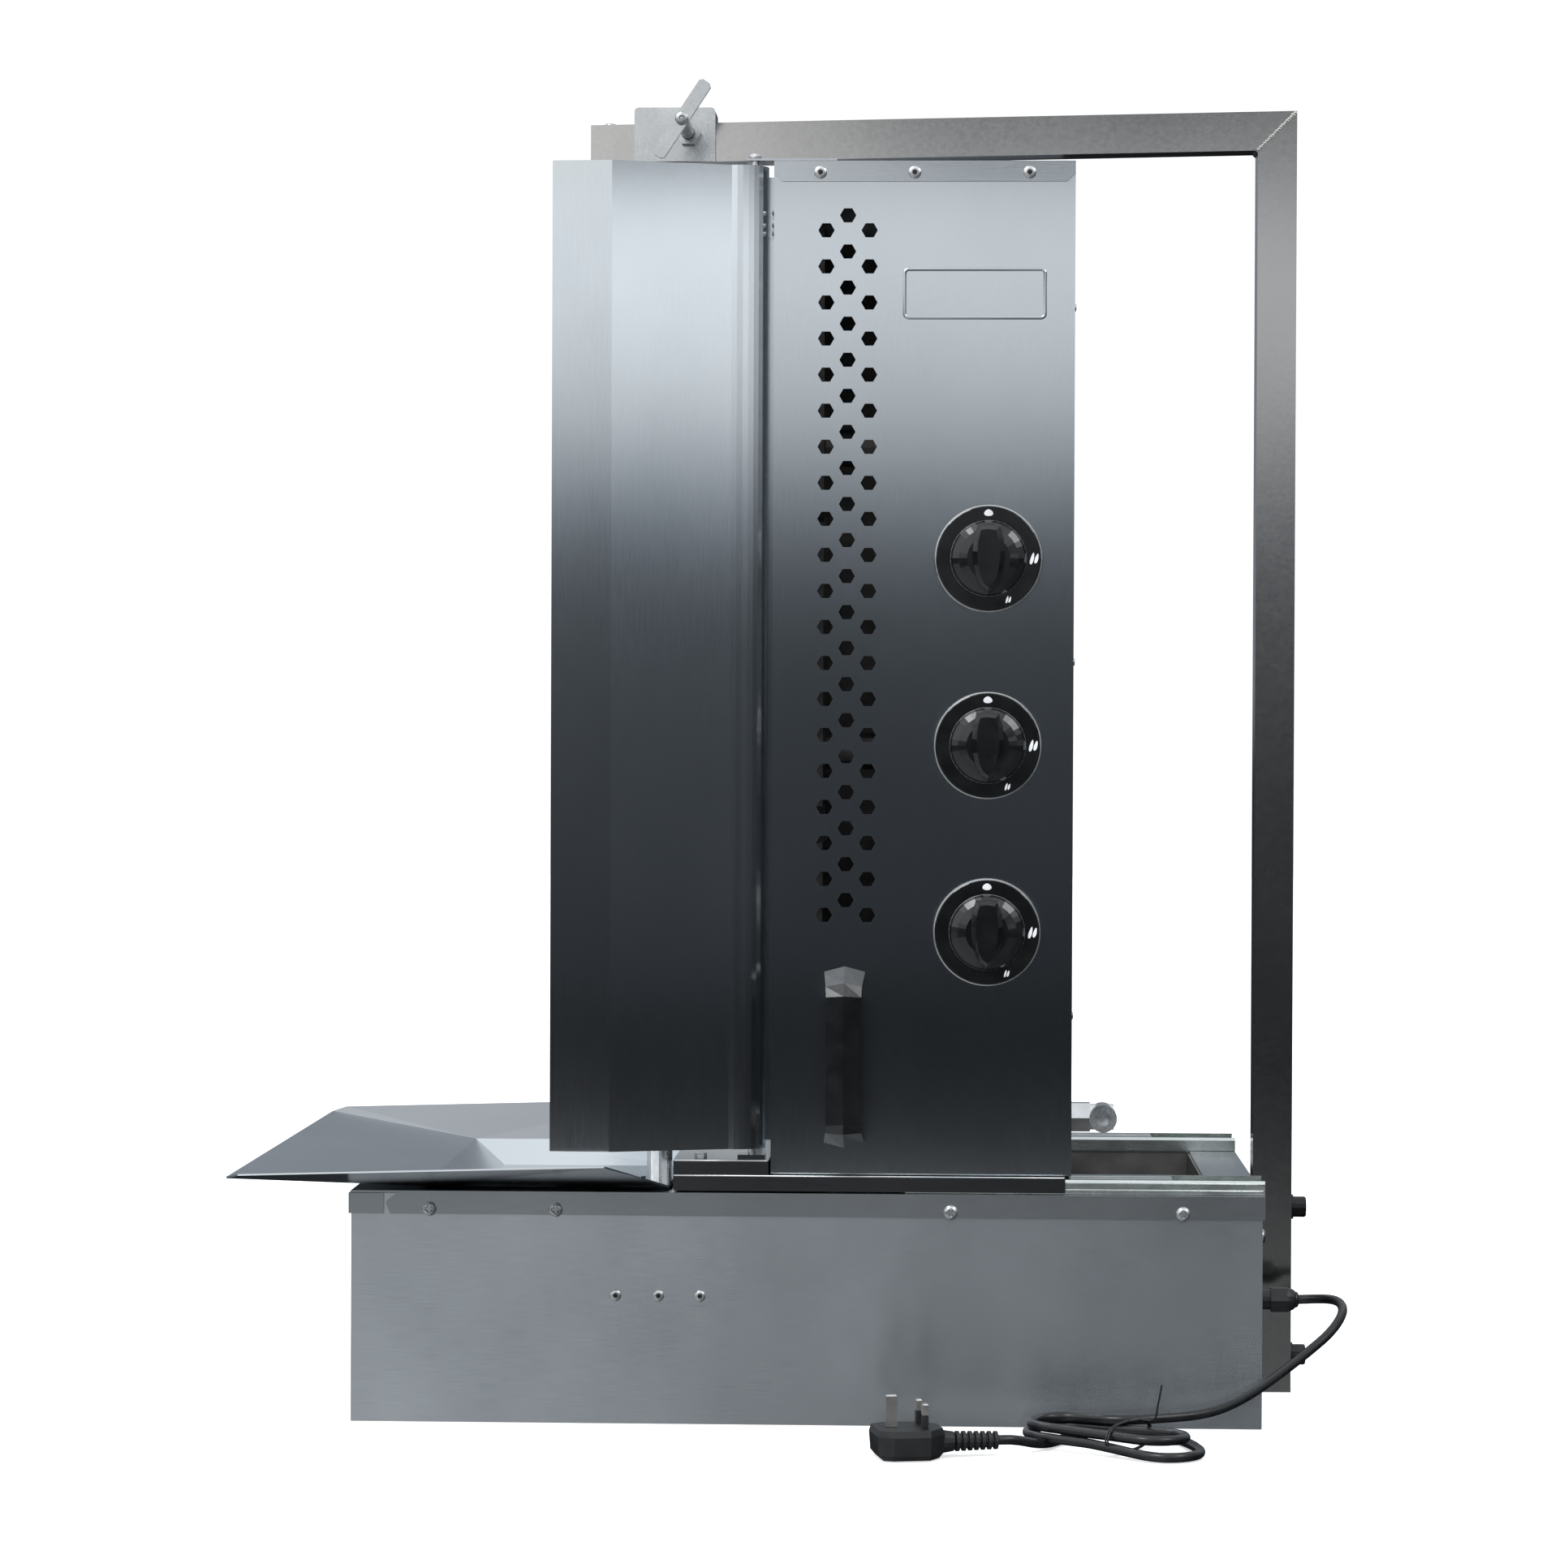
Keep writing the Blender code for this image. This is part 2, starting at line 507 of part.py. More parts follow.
def knobs():
    """Push-and-turn gas knobs: a printed skirt and a grip that turn together on a sprung stem."""
    x, y = KNOB_X, -BOX_HY
    rb, rk = SKIRT_D / 2, KNOB_D / 2
    for k, z in enumerate(KNOB_Z, 1):
        skirt = turned(f"knob_skirt_{k}", "Y", (x, z),
                       [(rb - 0.0004, y - 0.0046), (rb, y - 0.0050), (rb, y - 0.0060),
                        (rb - 0.0012, y - 0.0066)], 36)
        cut(skirt, rod(f"skirt_way_{k}", "Y", (x, z), 0.0036, y - 0.02, y + 0.02, 16))
        look(smooth(skirt), (0.02, 0.02, 0.02), 0.12, 0.0)
        stem = rod(f"valve_stem_{k}", "Y", (x, z), 0.0030, y - 0.016, -0.170, 16)
        look(smooth(stem), (0.6, 0.6, 0.6), 0.35)
        knob = turned(f"knob_{k}", "Y", (x, z),
                      [(rk, y - 0.0069), (rk, y - 0.0095), (rk - 0.0015, y - 0.0122),
                       (rk - 0.0060, y - 0.0150), (rk - 0.012, y - 0.0164)], 36)
        half = [(0.0085, 0.0238), (0.0118, 0.0150), (0.0128, 0.0050), (0.0120, -0.0060),
                (0.0096, -0.0155), (0.0056, -0.0225)]
        lens = [(0, 0.0246), *half, (0, -0.0258), *((-u, v) for u, v in reversed(half))]
        low = [(x + u, y - 0.009, z + v) for u, v in lens]
        mid = [(x + u * 0.90, y - 0.0215, z + v * 0.95) for u, v in lens]
        top = [(x + u * 0.64, y - 0.0260, z + v * 0.84) for u, v in lens]
        add(knob, rings(f"knob_grip_{k}", [low, mid, top]))
        cut(knob, rod(f"knob_bore_{k}", "Y", (x, z), 0.0034, y - 0.0165, y, 16))
        look(smooth(knob), (0.02, 0.02, 0.02), 0.15, 0.2)


# Doors

def door_line():
    """The sheet's section on the control side: outer edge, fold, flat, then the rolled edge."""
    start = math.radians(180 + 90 - DOOR_ANGLE)
    cx, cy, r = ROLL_X, -ROLL_Y, ROLL_R
    first = (cx + r * math.cos(start), cy + r * math.sin(start))
    run = (first[0] - DOOR_FOLD_X) / math.cos(math.radians(DOOR_ANGLE))
    fold = (DOOR_FOLD_X, first[1] - run * math.sin(math.radians(DOOR_ANGLE)))
    pts = [DOOR_EDGE, fold]
    steps = 9
    for i in range(steps + 1):
        t = start + (2 * math.pi - start) * i / steps
        pts.append((cx + r * math.cos(t), cy + r * math.sin(t)))
    return pts


def doors():
    line = door_line()
    for name, s in (("right", -1), ("left", 1)):
        pts = [(x, y if s < 0 else -y) for x, y in line]
        section = sheet_line(pts, DOOR_T, 1 if s < 0 else -1)
        door = prism(f"door_{name}", section, "Z", DOOR_LOW, DOOR_HIGH)
        inner = [(x, y if s < 0 else -y) for x, y in line[2:]]
        mid = Vector((ROLL_X, s * ROLL_Y))
        inner = [tuple(mid + (Vector(p) - mid) * (1 - 0.5 * DOOR_T / ROLL_R)) for p in inner]
        near = [(HINGE_X + 0.0068, s * (HINGE_Y - 0.0105)), (ROLL_X - 0.018, s * 0.1757)]
        for k, z in enumerate((DOOR_LOW + 0.001, DOOR_HIGH - 0.0025)):
            tab = prism(f"door_tab_{name}_{k}", inner + near, "Z", z, z + 0.0015)
            add(door, tab)
        cut(door, rod(f"door_eye_{name}", "Z", (HINGE_X, s * HINGE_Y), 0.0031, 0.1, 1.0, 16))
        look(smooth(door, 12), STEEL, 0.34)
        pin = turned(f"door_pin_{name}", "Z", (HINGE_X, s * HINGE_Y),
                     [(0.0027, 0.1945), (0.0027, 0.9283), (0.0046, 0.9283), (0.0046, 0.9296),
                      (0.0032, 0.9315)], 16)
        look(smooth(pin), (0.55, 0.55, 0.55), 0.4)


# Top bracket

def bracket():
    x0, x1, z0, z1 = SADDLE_X0, SADDLE_X1, SADDLE_LOW, SADDLE_TOP
    h, t = 0.0195, 0.0015
    saddle = box("top_saddle", (x0, x1), (-h, h), (z0, z1))
    cut(saddle, box("saddle_under", (x0 - 0.01, x1 + 0.01), (-h + t, h - t), (0.9, z1 - t)))
    for a, b in ((x0, 1), (x1, -1)):
        clip = prism(f"saddle_corner_{b}", [(a - b * 0.01, z1 + 0.01), (a + b * 0.003, z1 + 0.01),
                     (a + b * 0.003, z1), (a + b * 0.0009, z1 - 0.0009), (a, z1 - 0.003),
                     (a - b * 0.01, z1 - 0.003)], "Y", -0.05, 0.05)
        cut(saddle, clip)
    cut(saddle, rod("saddle_way", "Y", (CLAMP_X, CLAMP_Z), 0.0056, -h - 0.01, -h + 0.01, 20))
    look(saddle, (0.6, 0.62, 0.64), 0.3)
    pin = turned("centre_pin", "Z", (SPIT_X, 0),
                 [(0.0015, 0.914), (0.0033, 0.918), (0.0033, z1 - t - GAP)], 16)
    look(smooth(pin), (0.55, 0.55, 0.55), 0.35)


def clamp():
    x, z, t = CLAMP_X, CLAMP_Z, 0.0015
    y = -0.0195
    nut = prism("clamp_nut", circle(x, z, 0.0098, 6), "Y", y - GAP - 0.008, y - GAP)
    cut(nut, rod("nut_bore", "Y", (x, z), 0.0053, -0.1, 0, 20))
    look(nut, (0.7, 0.72, 0.72), 0.3)
    screw = rod("clamp_screw", "Y", (x, z), 0.0049, -0.1085, -0.0160, 24)
    c = Vector((x, CLAMP_OUT, z))
    a = math.radians(TBAR_TILT)
    along = Vector((math.cos(a), 0, math.sin(a)))
    across = Vector((-math.sin(a), 0, math.cos(a)))
    half, wide, nip = 0.0335, 0.0052, 0.0022
    flat = [(half, nip - wide), (half, wide - nip), (half - nip, wide), (nip - half, wide),
            (-half, wide - nip), (-half, nip - wide), (nip - half, -wide), (half - nip, -wide)]
    bar = []
    for y in (-0.00225, 0.00225):
        points = [c + along * u + across * v for u, v in flat]
        bar.append([(q.x, q.y + y, q.z) for q in points])
    add(screw, rings("clamp_bar", bar))
    look(smooth(screw), (0.75, 0.77, 0.77), 0.25)


# Mains lead

def gland():
    y, z = GLAND_Y, GLAND_Z
    body = prism("cable_gland", circle(y, z, 0.0102, 6), "X", 0.3470, 0.3600)
    add(body, prism("gland_locknut", circle(y, z, 0.0096, 6), "X", 0.3343, 0.3385))
    add(body, rod("gland_thread", "X", (y, z), 0.0076, 0.322, 0.348, 16))
    add(body, turned("gland_nose", "X", (y, z), [(0.0092, 0.3590), (0.0088, 0.3615),
                                                 (0.0074, 0.3645), (0.0056, 0.3662)], 16))
    cut(body, rod("gland_bore", "X", (y, z), 0.0039, 0.3, 0.4, 16))
    look(smooth(body), (0.025, 0.025, 0.025), 0.5, 0.0)


LEAD = [(0.3450, -0.1000, 0.0824), (0.3570, -0.1000, 0.0824), (0.3665, -0.1001, 0.0825),
        (0.3776, -0.1023, 0.0832), (0.3874, -0.1082, 0.0841), (0.3946, -0.1174, 0.0840),
        (0.3980, -0.1286, 0.0818), (0.3973, -0.1396, 0.0773), (0.3924, -0.1502, 0.0709),
        (0.3841, -0.1606, 0.0634), (0.3733, -0.1712, 0.0560), (0.3610, -0.1840, 0.0485),
        (0.3487, -0.1980, 0.0417), (0.3368, -0.2115, 0.0355), (0.3250, -0.2250, 0.0300),
        (0.3120, -0.2385, 0.0250), (0.2980, -0.2500, 0.0212), (0.2830, -0.2595, 0.0193),
        (0.2680, -0.2668, 0.0187), (0.2560, -0.2710, 0.0184)]
TAIL = [(0.1675, -0.3085, 0.0058), (0.1615, -0.3140, 0.0075), (0.1555, -0.3190, 0.0092),
        (0.1490, -0.3230, 0.0103), (0.1429, -0.3250, 0.0105)]
HANK_X, HANK_Y, HANK_TURN = 0.2240, -0.3000, -32.0
HANK_HALF, HANK_R, HANK_HIGH = 0.038, 0.030, 0.0215


def along(points, step):
    """A Catmull-Rom curve through the points, sampled about every step."""
    pts = [Vector(p) for p in points]
    pts = [pts[0] * 2 - pts[1]] + pts + [pts[-1] * 2 - pts[-2]]
    out = []
    for i in range(1, len(pts) - 2):
        a, b, c, d = pts[i - 1:i + 3]
        n = max(1, round((c - b).length / step))
        for k in range(n):
            t = k / n
            out.append(0.5 * (2 * b + (c - a) * t + (2 * a - 5 * b + 4 * c - d) * t * t
                              + (3 * b - a - 3 * c + d) * t ** 3))
    out.append(pts[-2])
    return out


def tube(name, points):
    data = bpy.data.curves.new(name, "CURVE")
    data.dimensions = "3D"
    data.bevel_depth = CORD_D / 2
    data.bevel_resolution = 2
    data.use_fill_caps = True
    spline = data.splines.new("POLY")
    spline.points.add(len(points) - 1)
    for point, co in zip(spline.points, points):
        point.co = (*co, 1)
    obj = bpy.data.objects.new(name, data)
    bpy.context.scene.collection.objects.link(obj)
    return look(obj, (0.02, 0.02, 0.02), 0.45, 0.0)


def lead():
    tube("cord_lead", along(LEAD, 0.018))
    tube("cord_tail", along(TAIL, 0.018))
    turn = math.radians(HANK_TURN)
    outline = []
    for i in range(32):
        t = 2 * math.pi * (i + 0.5) / 32
        u = math.copysign(HANK_HALF, math.cos(t)) + HANK_R * math.cos(t)
        v = HANK_R * math.sin(t)
        outline.append((HANK_X + u * math.cos(turn) - v * math.sin(turn),
                        HANK_Y + u * math.sin(turn) + v * math.cos(turn)))
    hank = prism("cord_hank", outline, "Z", 0.0004, HANK_HIGH)
    look(hank, (0.02, 0.02, 0.02), 0.45, 0.0)


def plug():
    """Three-pin plug on its back, with its pins up, its flex leaving towards the hank."""
    turn = math.radians(PLUG_TURN)

    def world(u, v, z):
        return (PLUG_X + u * math.cos(turn) - v * math.sin(turn),
                PLUG_Y + u * math.sin(turn) + v * math.cos(turn), z)

    def ring(z, inset):
        half, w = 0.0245 - inset, 0.0245 - inset
        pts = [(-half, -0.017), (-half, 0.017), (-0.014, w), (0.012, w), (half, 0.010),
               (half, -0.010), (0.012, -w), (-0.014, -w)]
        return [world(u, v, z) for u, v in pts]
    body = rings("mains_plug", [ring(0.0005, 0.004), ring(0.004, 0.001), ring(0.017, 0.0),
                                ring(0.0215, 0.0015)])
    section = [(0.0200, 0.0088), (0.0325, 0.0070)]
    for i in range(7):
        u, r = 0.0335 + 0.0046 * i, 0.0072 - 0.00013 * i
        section += [(u, r * 0.74), (u + 0.0006, r), (u + 0.0030, r), (u + 0.0036, r * 0.74)]
    boot = []
    for u, r in section:
        boot.append([world(u, r * math.cos(a), 0.0105 + r * math.sin(a))
                     for a in (2 * math.pi * j / 14 for j in range(14))])
    add(body, rings("plug_boot", boot))
    for k, (u, v, dx, dy, high) in enumerate(((-0.0120, 0, 0.0040, 0.0020, 0.0442),
                                              (0.0100, -0.0111, 0.0020, 0.00315, 0.0392),
                                              (0.0100, 0.0111, 0.0020, 0.00315, 0.0392))):
        def foot(z, c=0.0):
            return [world(u + a * (dx - c), v + b * (dy - c), z)
                    for a, b in ((-1, -1), (1, -1), (1, 1), (-1, 1))]
        add(body, rings(f"plug_pin_{k}", [foot(0.018), foot(high - 0.001), foot(high, 0.0007)]))
    cut(body, rings("boot_bore", [[world(u, 0.0039 * math.cos(a), 0.0105 + 0.0039 * math.sin(a))
                                   for a in (2 * math.pi * j / 14 for j in range(14))]
                                  for u in (0.050, 0.08)]))
    look(body, (0.02, 0.02, 0.02), 0.4, 0.0)


def main():
    clear()
    for step in (base_shell, deck, well, motor, slides, mast, catch_pan, spit, sled,
                 side_panels, name_frame, burner_shell, burners, gas_train, hinge_plates,
                 handle, knobs, doors, bracket, clamp, gland, lead, plug):
        step()


main()
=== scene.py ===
"""Looks of the vertical rotisserie grill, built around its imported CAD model."""

import math

import bmesh
import bpy
from mathutils import Matrix, Vector

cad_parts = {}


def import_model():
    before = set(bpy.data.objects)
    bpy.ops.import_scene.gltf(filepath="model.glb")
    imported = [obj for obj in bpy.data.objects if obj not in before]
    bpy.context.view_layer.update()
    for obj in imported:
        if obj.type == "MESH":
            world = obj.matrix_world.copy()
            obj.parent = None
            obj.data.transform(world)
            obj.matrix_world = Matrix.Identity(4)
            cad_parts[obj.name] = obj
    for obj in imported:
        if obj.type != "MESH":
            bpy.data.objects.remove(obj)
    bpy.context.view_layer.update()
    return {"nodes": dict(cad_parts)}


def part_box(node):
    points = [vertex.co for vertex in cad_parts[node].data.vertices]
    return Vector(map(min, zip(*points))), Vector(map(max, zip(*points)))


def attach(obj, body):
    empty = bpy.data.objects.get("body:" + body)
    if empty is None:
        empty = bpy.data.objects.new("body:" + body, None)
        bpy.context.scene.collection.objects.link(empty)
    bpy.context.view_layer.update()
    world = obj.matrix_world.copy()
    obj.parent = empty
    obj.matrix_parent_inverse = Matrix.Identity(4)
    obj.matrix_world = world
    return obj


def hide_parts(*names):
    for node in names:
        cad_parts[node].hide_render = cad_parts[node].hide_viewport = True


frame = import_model()
NODES = frame["nodes"]

# ---------------------------------------------------------------- Driving sizes
CORD_D = 0.007
PANEL_Y = -0.190
KNOB_X = 0.132
KNOB_Z = (0.3617, 0.4984, 0.6351)
GRIP_R, SKIRT_R = 0.02775, 0.039
RIM_Y = 0.2018
COVER_Y = 0.1915
TUBE = 0.030
WELD_PITCH = 0.0022
GLAND_Y, GLAND_Z, GLAND_END = -0.100, 0.0824, 0.3652
CLAMP_X, CLAMP_Y, CLAMP_Z = -0.099, -0.1085, 0.9685
SHELF_X, SHELF_Y, SHELF_Z = (-0.139, -0.1075, -0.077), 0.2000, 0.0940
MARK_R = 0.0334
TILE_PITCH, TILE_FACE_X = 0.0042, -0.0190
PLUG_X, PLUG_Y = 0.0770, -0.3390
BADGE_R = 0.0013

# The mains lead: straight out of the gland, down to the table, then to the hank
LEAD = [(0.3450, -0.1000, 0.0824), (0.3570, -0.1000, 0.0824), (0.3665, -0.1001, 0.0825),
        (0.3776, -0.1023, 0.0832), (0.3874, -0.1082, 0.0841), (0.3946, -0.1174, 0.0840),
        (0.3980, -0.1286, 0.0818), (0.3973, -0.1396, 0.0773), (0.3924, -0.1502, 0.0709),
        (0.3841, -0.1606, 0.0634), (0.3733, -0.1712, 0.0560), (0.3610, -0.1840, 0.0485),
        (0.3487, -0.1980, 0.0417), (0.3368, -0.2115, 0.0355), (0.3250, -0.2250, 0.0300),
        (0.3120, -0.2385, 0.0250), (0.2980, -0.2500, 0.0212), (0.2830, -0.2595, 0.0193),
        (0.2680, -0.2668, 0.0187), (0.2560, -0.2710, 0.0184),
        (0.2425, -0.2748, 0.0180), (0.2302, -0.2760, 0.0178)]
# The last loop of the hank, which lies on the table, and the end that runs to the plug
LOOP = [(0.2205, -0.3312, 0.0062), (0.2315, -0.3395, 0.0050), (0.2420, -0.3475, 0.0041),
        (0.2535, -0.3530, 0.0037), (0.2655, -0.3525, 0.0037), (0.2755, -0.3455, 0.0037),
        (0.2810, -0.3350, 0.0037), (0.2825, -0.3230, 0.0037), (0.2808, -0.3100, 0.0037),
        (0.2780, -0.2970, 0.0037), (0.2740, -0.2840, 0.0037), (0.2685, -0.2715, 0.0037),
        (0.2605, -0.2605, 0.0037), (0.2495, -0.2520, 0.0037), (0.2365, -0.2470, 0.0037),
        (0.2235, -0.2455, 0.0037), (0.2110, -0.2475, 0.0037), (0.2005, -0.2535, 0.0037),
        (0.1930, -0.2635, 0.0037), (0.1872, -0.2755, 0.0037), (0.1810, -0.2880, 0.0038),
        (0.1750, -0.2995, 0.0044), (0.1675, -0.3085, 0.0058), (0.1615, -0.3140, 0.0075),
        (0.1555, -0.3190, 0.0092), (0.1490, -0.3230, 0.0103), (0.1429, -0.3250, 0.0105),
        (0.1380, -0.3260, 0.0105)]
HANK_AT, HANK_TURN = Vector((0.2178, -0.2978)), math.radians(-32)
HANK_HALF, HANK_R = 0.0365, 0.0215


# ---------------------------------------------------------------- Camera
def camera():
    data = bpy.data.cameras.new("camera")
    data.lens = 102.2
    data.sensor_width = 36.0
    data.clip_start, data.clip_end = 0.05, 60.0
    cam = bpy.data.objects.new("camera", data)
    bpy.context.scene.collection.objects.link(cam)
    forward = Vector((-0.0376, 1.0, -0.0126)).normalized()
    look = forward.to_track_quat("-Z", "Y").to_matrix().to_4x4()
    roll = Matrix.Rotation(math.radians(0.22), 4, "Z")
    cam.matrix_world = Matrix.Translation((0.1056, -3.454, 0.5107)) @ look @ roll
    bpy.context.scene.camera = cam


# ---------------------------------------------------------------- Node helpers
class Nodes:
    """A material under construction: short names for the nodes it needs."""

    def __init__(self, name):
        self.mat = bpy.data.materials.new(name)
        self.mat.use_nodes = True
        self.tree = self.mat.node_tree
        self.shader = self.tree.nodes["Principled BSDF"]
        self.coords = self.add("ShaderNodeTexCoord").outputs["Object"]

    def add(self, kind, **inputs):
        node = self.tree.nodes.new(kind)
        for key, value in inputs.items():
            self.plug(node.inputs[key.replace("_", " ")], value)
        return node

    def plug(self, socket, value):
        if isinstance(value, bpy.types.NodeSocket):
            self.tree.links.new(value, socket)
        else:
            socket.default_value = value

    def set(self, **inputs):
        for key, value in inputs.items():
            self.plug(self.shader.inputs[key.replace("_", " ")], value)

    def noise(self, stretch, scale=1.0, detail=3.0, rough=0.55):
        place = self.add("ShaderNodeMapping", Vector=self.coords, Scale=stretch)
        return self.add("ShaderNodeTexNoise", Vector=place.outputs["Vector"], Scale=scale,
                        Detail=detail, Roughness=rough).outputs["Fac"]

    def ramp(self, value, *stops):
        node = self.add("ShaderNodeValToRGB", Fac=value)
        ramp = node.color_ramp
        while len(ramp.elements) < len(stops):
            ramp.elements.new(0.5)
        for element, (at, colour) in zip(ramp.elements, stops):
            element.position = at
            element.color = (*colour, 1.0) if len(colour) == 3 else colour
        return node.outputs["Color"]

    def span(self, value, low, high, start=0.0, end=1.0):
        return self.add("ShaderNodeMapRange", Value=value, From_Min=start, From_Max=end,
                        To_Min=low, To_Max=high).outputs["Result"]

    def math(self, op, a, b=0.0, c=0.0):
        node = self.tree.nodes.new("ShaderNodeMath")
        node.operation = op
        for socket, value in zip(node.inputs, (a, b, c)):
            self.plug(socket, value)
        return node.outputs[0]

    def mix(self, fac, a, b):
        node = self.tree.nodes.new("ShaderNodeMix")
        node.data_type = "RGBA"
        self.plug(node.inputs["Factor"], fac)
        for socket, value in ((node.inputs[6], a), (node.inputs[7], b)):
            self.plug(socket, (*value, 1.0) if isinstance(value, tuple) else value)
        return node.outputs[2]

    def axes(self):
        split = self.add("ShaderNodeSeparateXYZ", Vector=self.coords)
        return [split.outputs[k] for k in "XYZ"]

    def bump(self, height, strength, distance=0.001):
        node = self.add("ShaderNodeBump", Height=height, Strength=strength, Distance=distance)
        self.plug(self.shader.inputs["Normal"], node.outputs["Normal"])


# ---------------------------------------------------------------- Materials
def brushed(name, dark, light, grain, rough=(0.12, 0.17), aniso=1.0, turn=0.0, smudge=0.35):
    """Brushed sheet. grain is how the streaks run: the mapping scale is low along them."""
    m = Nodes(name)
    streaks = m.noise(grain, 1.0, 5.0, 0.7)
    cloud = m.noise((7, 7, 5), 1.0, 4.0)
    tone = m.math("ADD", m.math("MULTIPLY", streaks, 0.45),
                  m.math("MULTIPLY", cloud, 0.55))
    m.set(Metallic=1.0, Base_Color=m.ramp(tone, (0.28, dark), (0.72, light)))
    worn = m.math("ADD", streaks, m.math("MULTIPLY", cloud, smudge))
    m.set(Roughness=m.span(worn, rough[0], rough[1], 0.35, 0.95))
    if aniso:
        m.shader.inputs["Anisotropic"].default_value = aniso
        m.shader.inputs["Anisotropic Rotation"].default_value = turn
        tangent = m.add("ShaderNodeTangent")
        tangent.direction_type, tangent.axis = "RADIAL", "Z"
        m.plug(m.shader.inputs["Tangent"], tangent.outputs["Tangent"])
    m.bump(streaks, 0.025, 0.0003)
    return m.mat


UPRIGHT = (2300, 2300, 45)     # streaks that run up and down
LENGTHWISE = (45, 2300, 2300)  # streaks that run along X
ROUND = (500, 500, 500)


def plastic(name, colour, rough, grain=2600, depth=0.10, coat=0.0, dust=0.0):
    m = Nodes(name)
    fine = m.noise((grain,) * 3, 1.0, 2.0)
    cloud = m.noise((60,) * 3, 1.0, 4.0)
    pale = tuple(min(1.0, c * (1.5 + dust) + 0.006 * dust) for c in colour)
    m.set(Metallic=0.0, Base_Color=m.ramp(cloud, (0.35, colour), (0.75, pale)))
    m.set(Roughness=m.span(cloud, rough - 0.03, rough + 0.06, 0.3, 0.7))
    m.shader.inputs["Coat Weight"].default_value = coat
    m.shader.inputs["Coat Roughness"].default_value = 0.06
    m.bump(fine, depth, 0.0002)
    return m.mat


def plain_steel(name, dark, light, rough, scale=ROUND, scuffs=0.12):
    m = Nodes(name)
    fine = m.noise(scale, 1.0, 5.0, 0.7)
    cloud = m.noise((35,) * 3, 1.0, 5.0)
    m.set(Metallic=1.0, Base_Color=m.ramp(cloud, (0.3, dark), (0.7, light)))
    m.set(Roughness=m.span(m.math("ADD", fine, cloud), rough - 0.05, rough + scuffs, 0.7, 1.35))
    m.bump(fine, 0.06, 0.0004)
    return m.mat


def painted(name, colour, rough):
    m = Nodes(name)
    peel = m.noise((420,) * 3, 1.0, 3.0)
    cloud = m.noise((25,) * 3, 1.0, 4.0)
    pale = tuple(c * 1.35 for c in colour)
    m.set(Metallic=0.25, Base_Color=m.ramp(cloud, (0.35, colour), (0.75, pale)))
    m.set(Roughness=m.span(cloud, rough - 0.05, rough + 0.1, 0.3, 0.7))
    m.bump(peel, 0.12, 0.0005)
    return m.mat


def ceramic():
    """Drilled ceramic tile in a steel box: rows of fine holes on the face only, coloured
    near-black as painted shade in the holes, with dark joints between the tiles.
    """
    m = Nodes("ceramic_tile")
    x, y, z = m.axes()
    cells = [m.math("SUBTRACT", m.math("FRACT", m.math("DIVIDE", a, TILE_PITCH)), 0.5)
             for a in (y, z)]
    far = m.math("SQRT", m.math("ADD", m.math("MULTIPLY", cells[0], cells[0]),
                                m.math("MULTIPLY", cells[1], cells[1])))
    solid = m.math("GREATER_THAN", far, 0.24)
    tile_gap = m.math("LESS_THAN", m.math("ABSOLUTE", m.math("SUBTRACT", m.math(
        "FRACT", m.math("DIVIDE", m.math("ADD", y, 0.5), 0.0966)), 0.5)), 0.492)
    face = m.math("LESS_THAN", m.math("ABSOLUTE", m.math("SUBTRACT", x, TILE_FACE_X)), 0.0006)
    cloud = m.noise((30, 30, 30), 1.0, 5.0)
    clay = m.ramp(cloud, (0.35, (0.60, 0.47, 0.36)), (0.7, (0.78, 0.68, 0.56)))
    pattern = m.math("MULTIPLY", solid, tile_gap)
    # Holes and tile joints take the near-black colour; in the holes it is painted shade
    tile = m.mix(pattern, (0.05, 0.04, 0.035), clay)
    steel = m.ramp(cloud, (0.3, (0.30, 0.29, 0.28)), (0.7, (0.42, 0.41, 0.40)))
    m.set(Base_Color=m.mix(face, steel, tile), Metallic=m.math("SUBTRACT", 1.0, face))
    m.set(Roughness=m.span(face, 0.42, 0.9))
    m.bump(pattern, 0.6, 0.001)
    return m.mat


def plug_plastic():
    """Moulded black PVC; the pins are nickel, with black sleeves on the two flat ones."""
    m = Nodes("plug_moulding")
    x, y, z = m.axes()
    cloud = m.noise((90,) * 3, 1.0, 4.0)
    fine = m.noise((1900,) * 3, 1.0, 2.0)
    along = m.math("ADD", m.math("MULTIPLY", m.math("SUBTRACT", x, PLUG_X), 0.978),
                   m.math("MULTIPLY", m.math("SUBTRACT", y, PLUG_Y), 0.208))
    earth = m.math("LESS_THAN", along, -0.004)
    bare = m.math("MAXIMUM", m.math("GREATER_THAN", z, 0.0312),
                  m.math("MULTIPLY", earth, m.math("GREATER_THAN", z, 0.0219)))
    black = m.ramp(cloud, (0.35, (0.0045, 0.005, 0.0055)), (0.75, (0.010, 0.0105, 0.0115)))
    nickel = m.ramp(cloud, (0.3, (0.42, 0.41, 0.39)), (0.7, (0.60, 0.58, 0.55)))
    m.set(Base_Color=m.mix(bare, black, nickel), Metallic=bare)
    m.set(Roughness=m.math("ADD", m.span(bare, 0.46, 0.30), m.math("MULTIPLY", cloud, 0.08)))
    m.bump(fine, 0.15, 0.0003)
    return m.mat


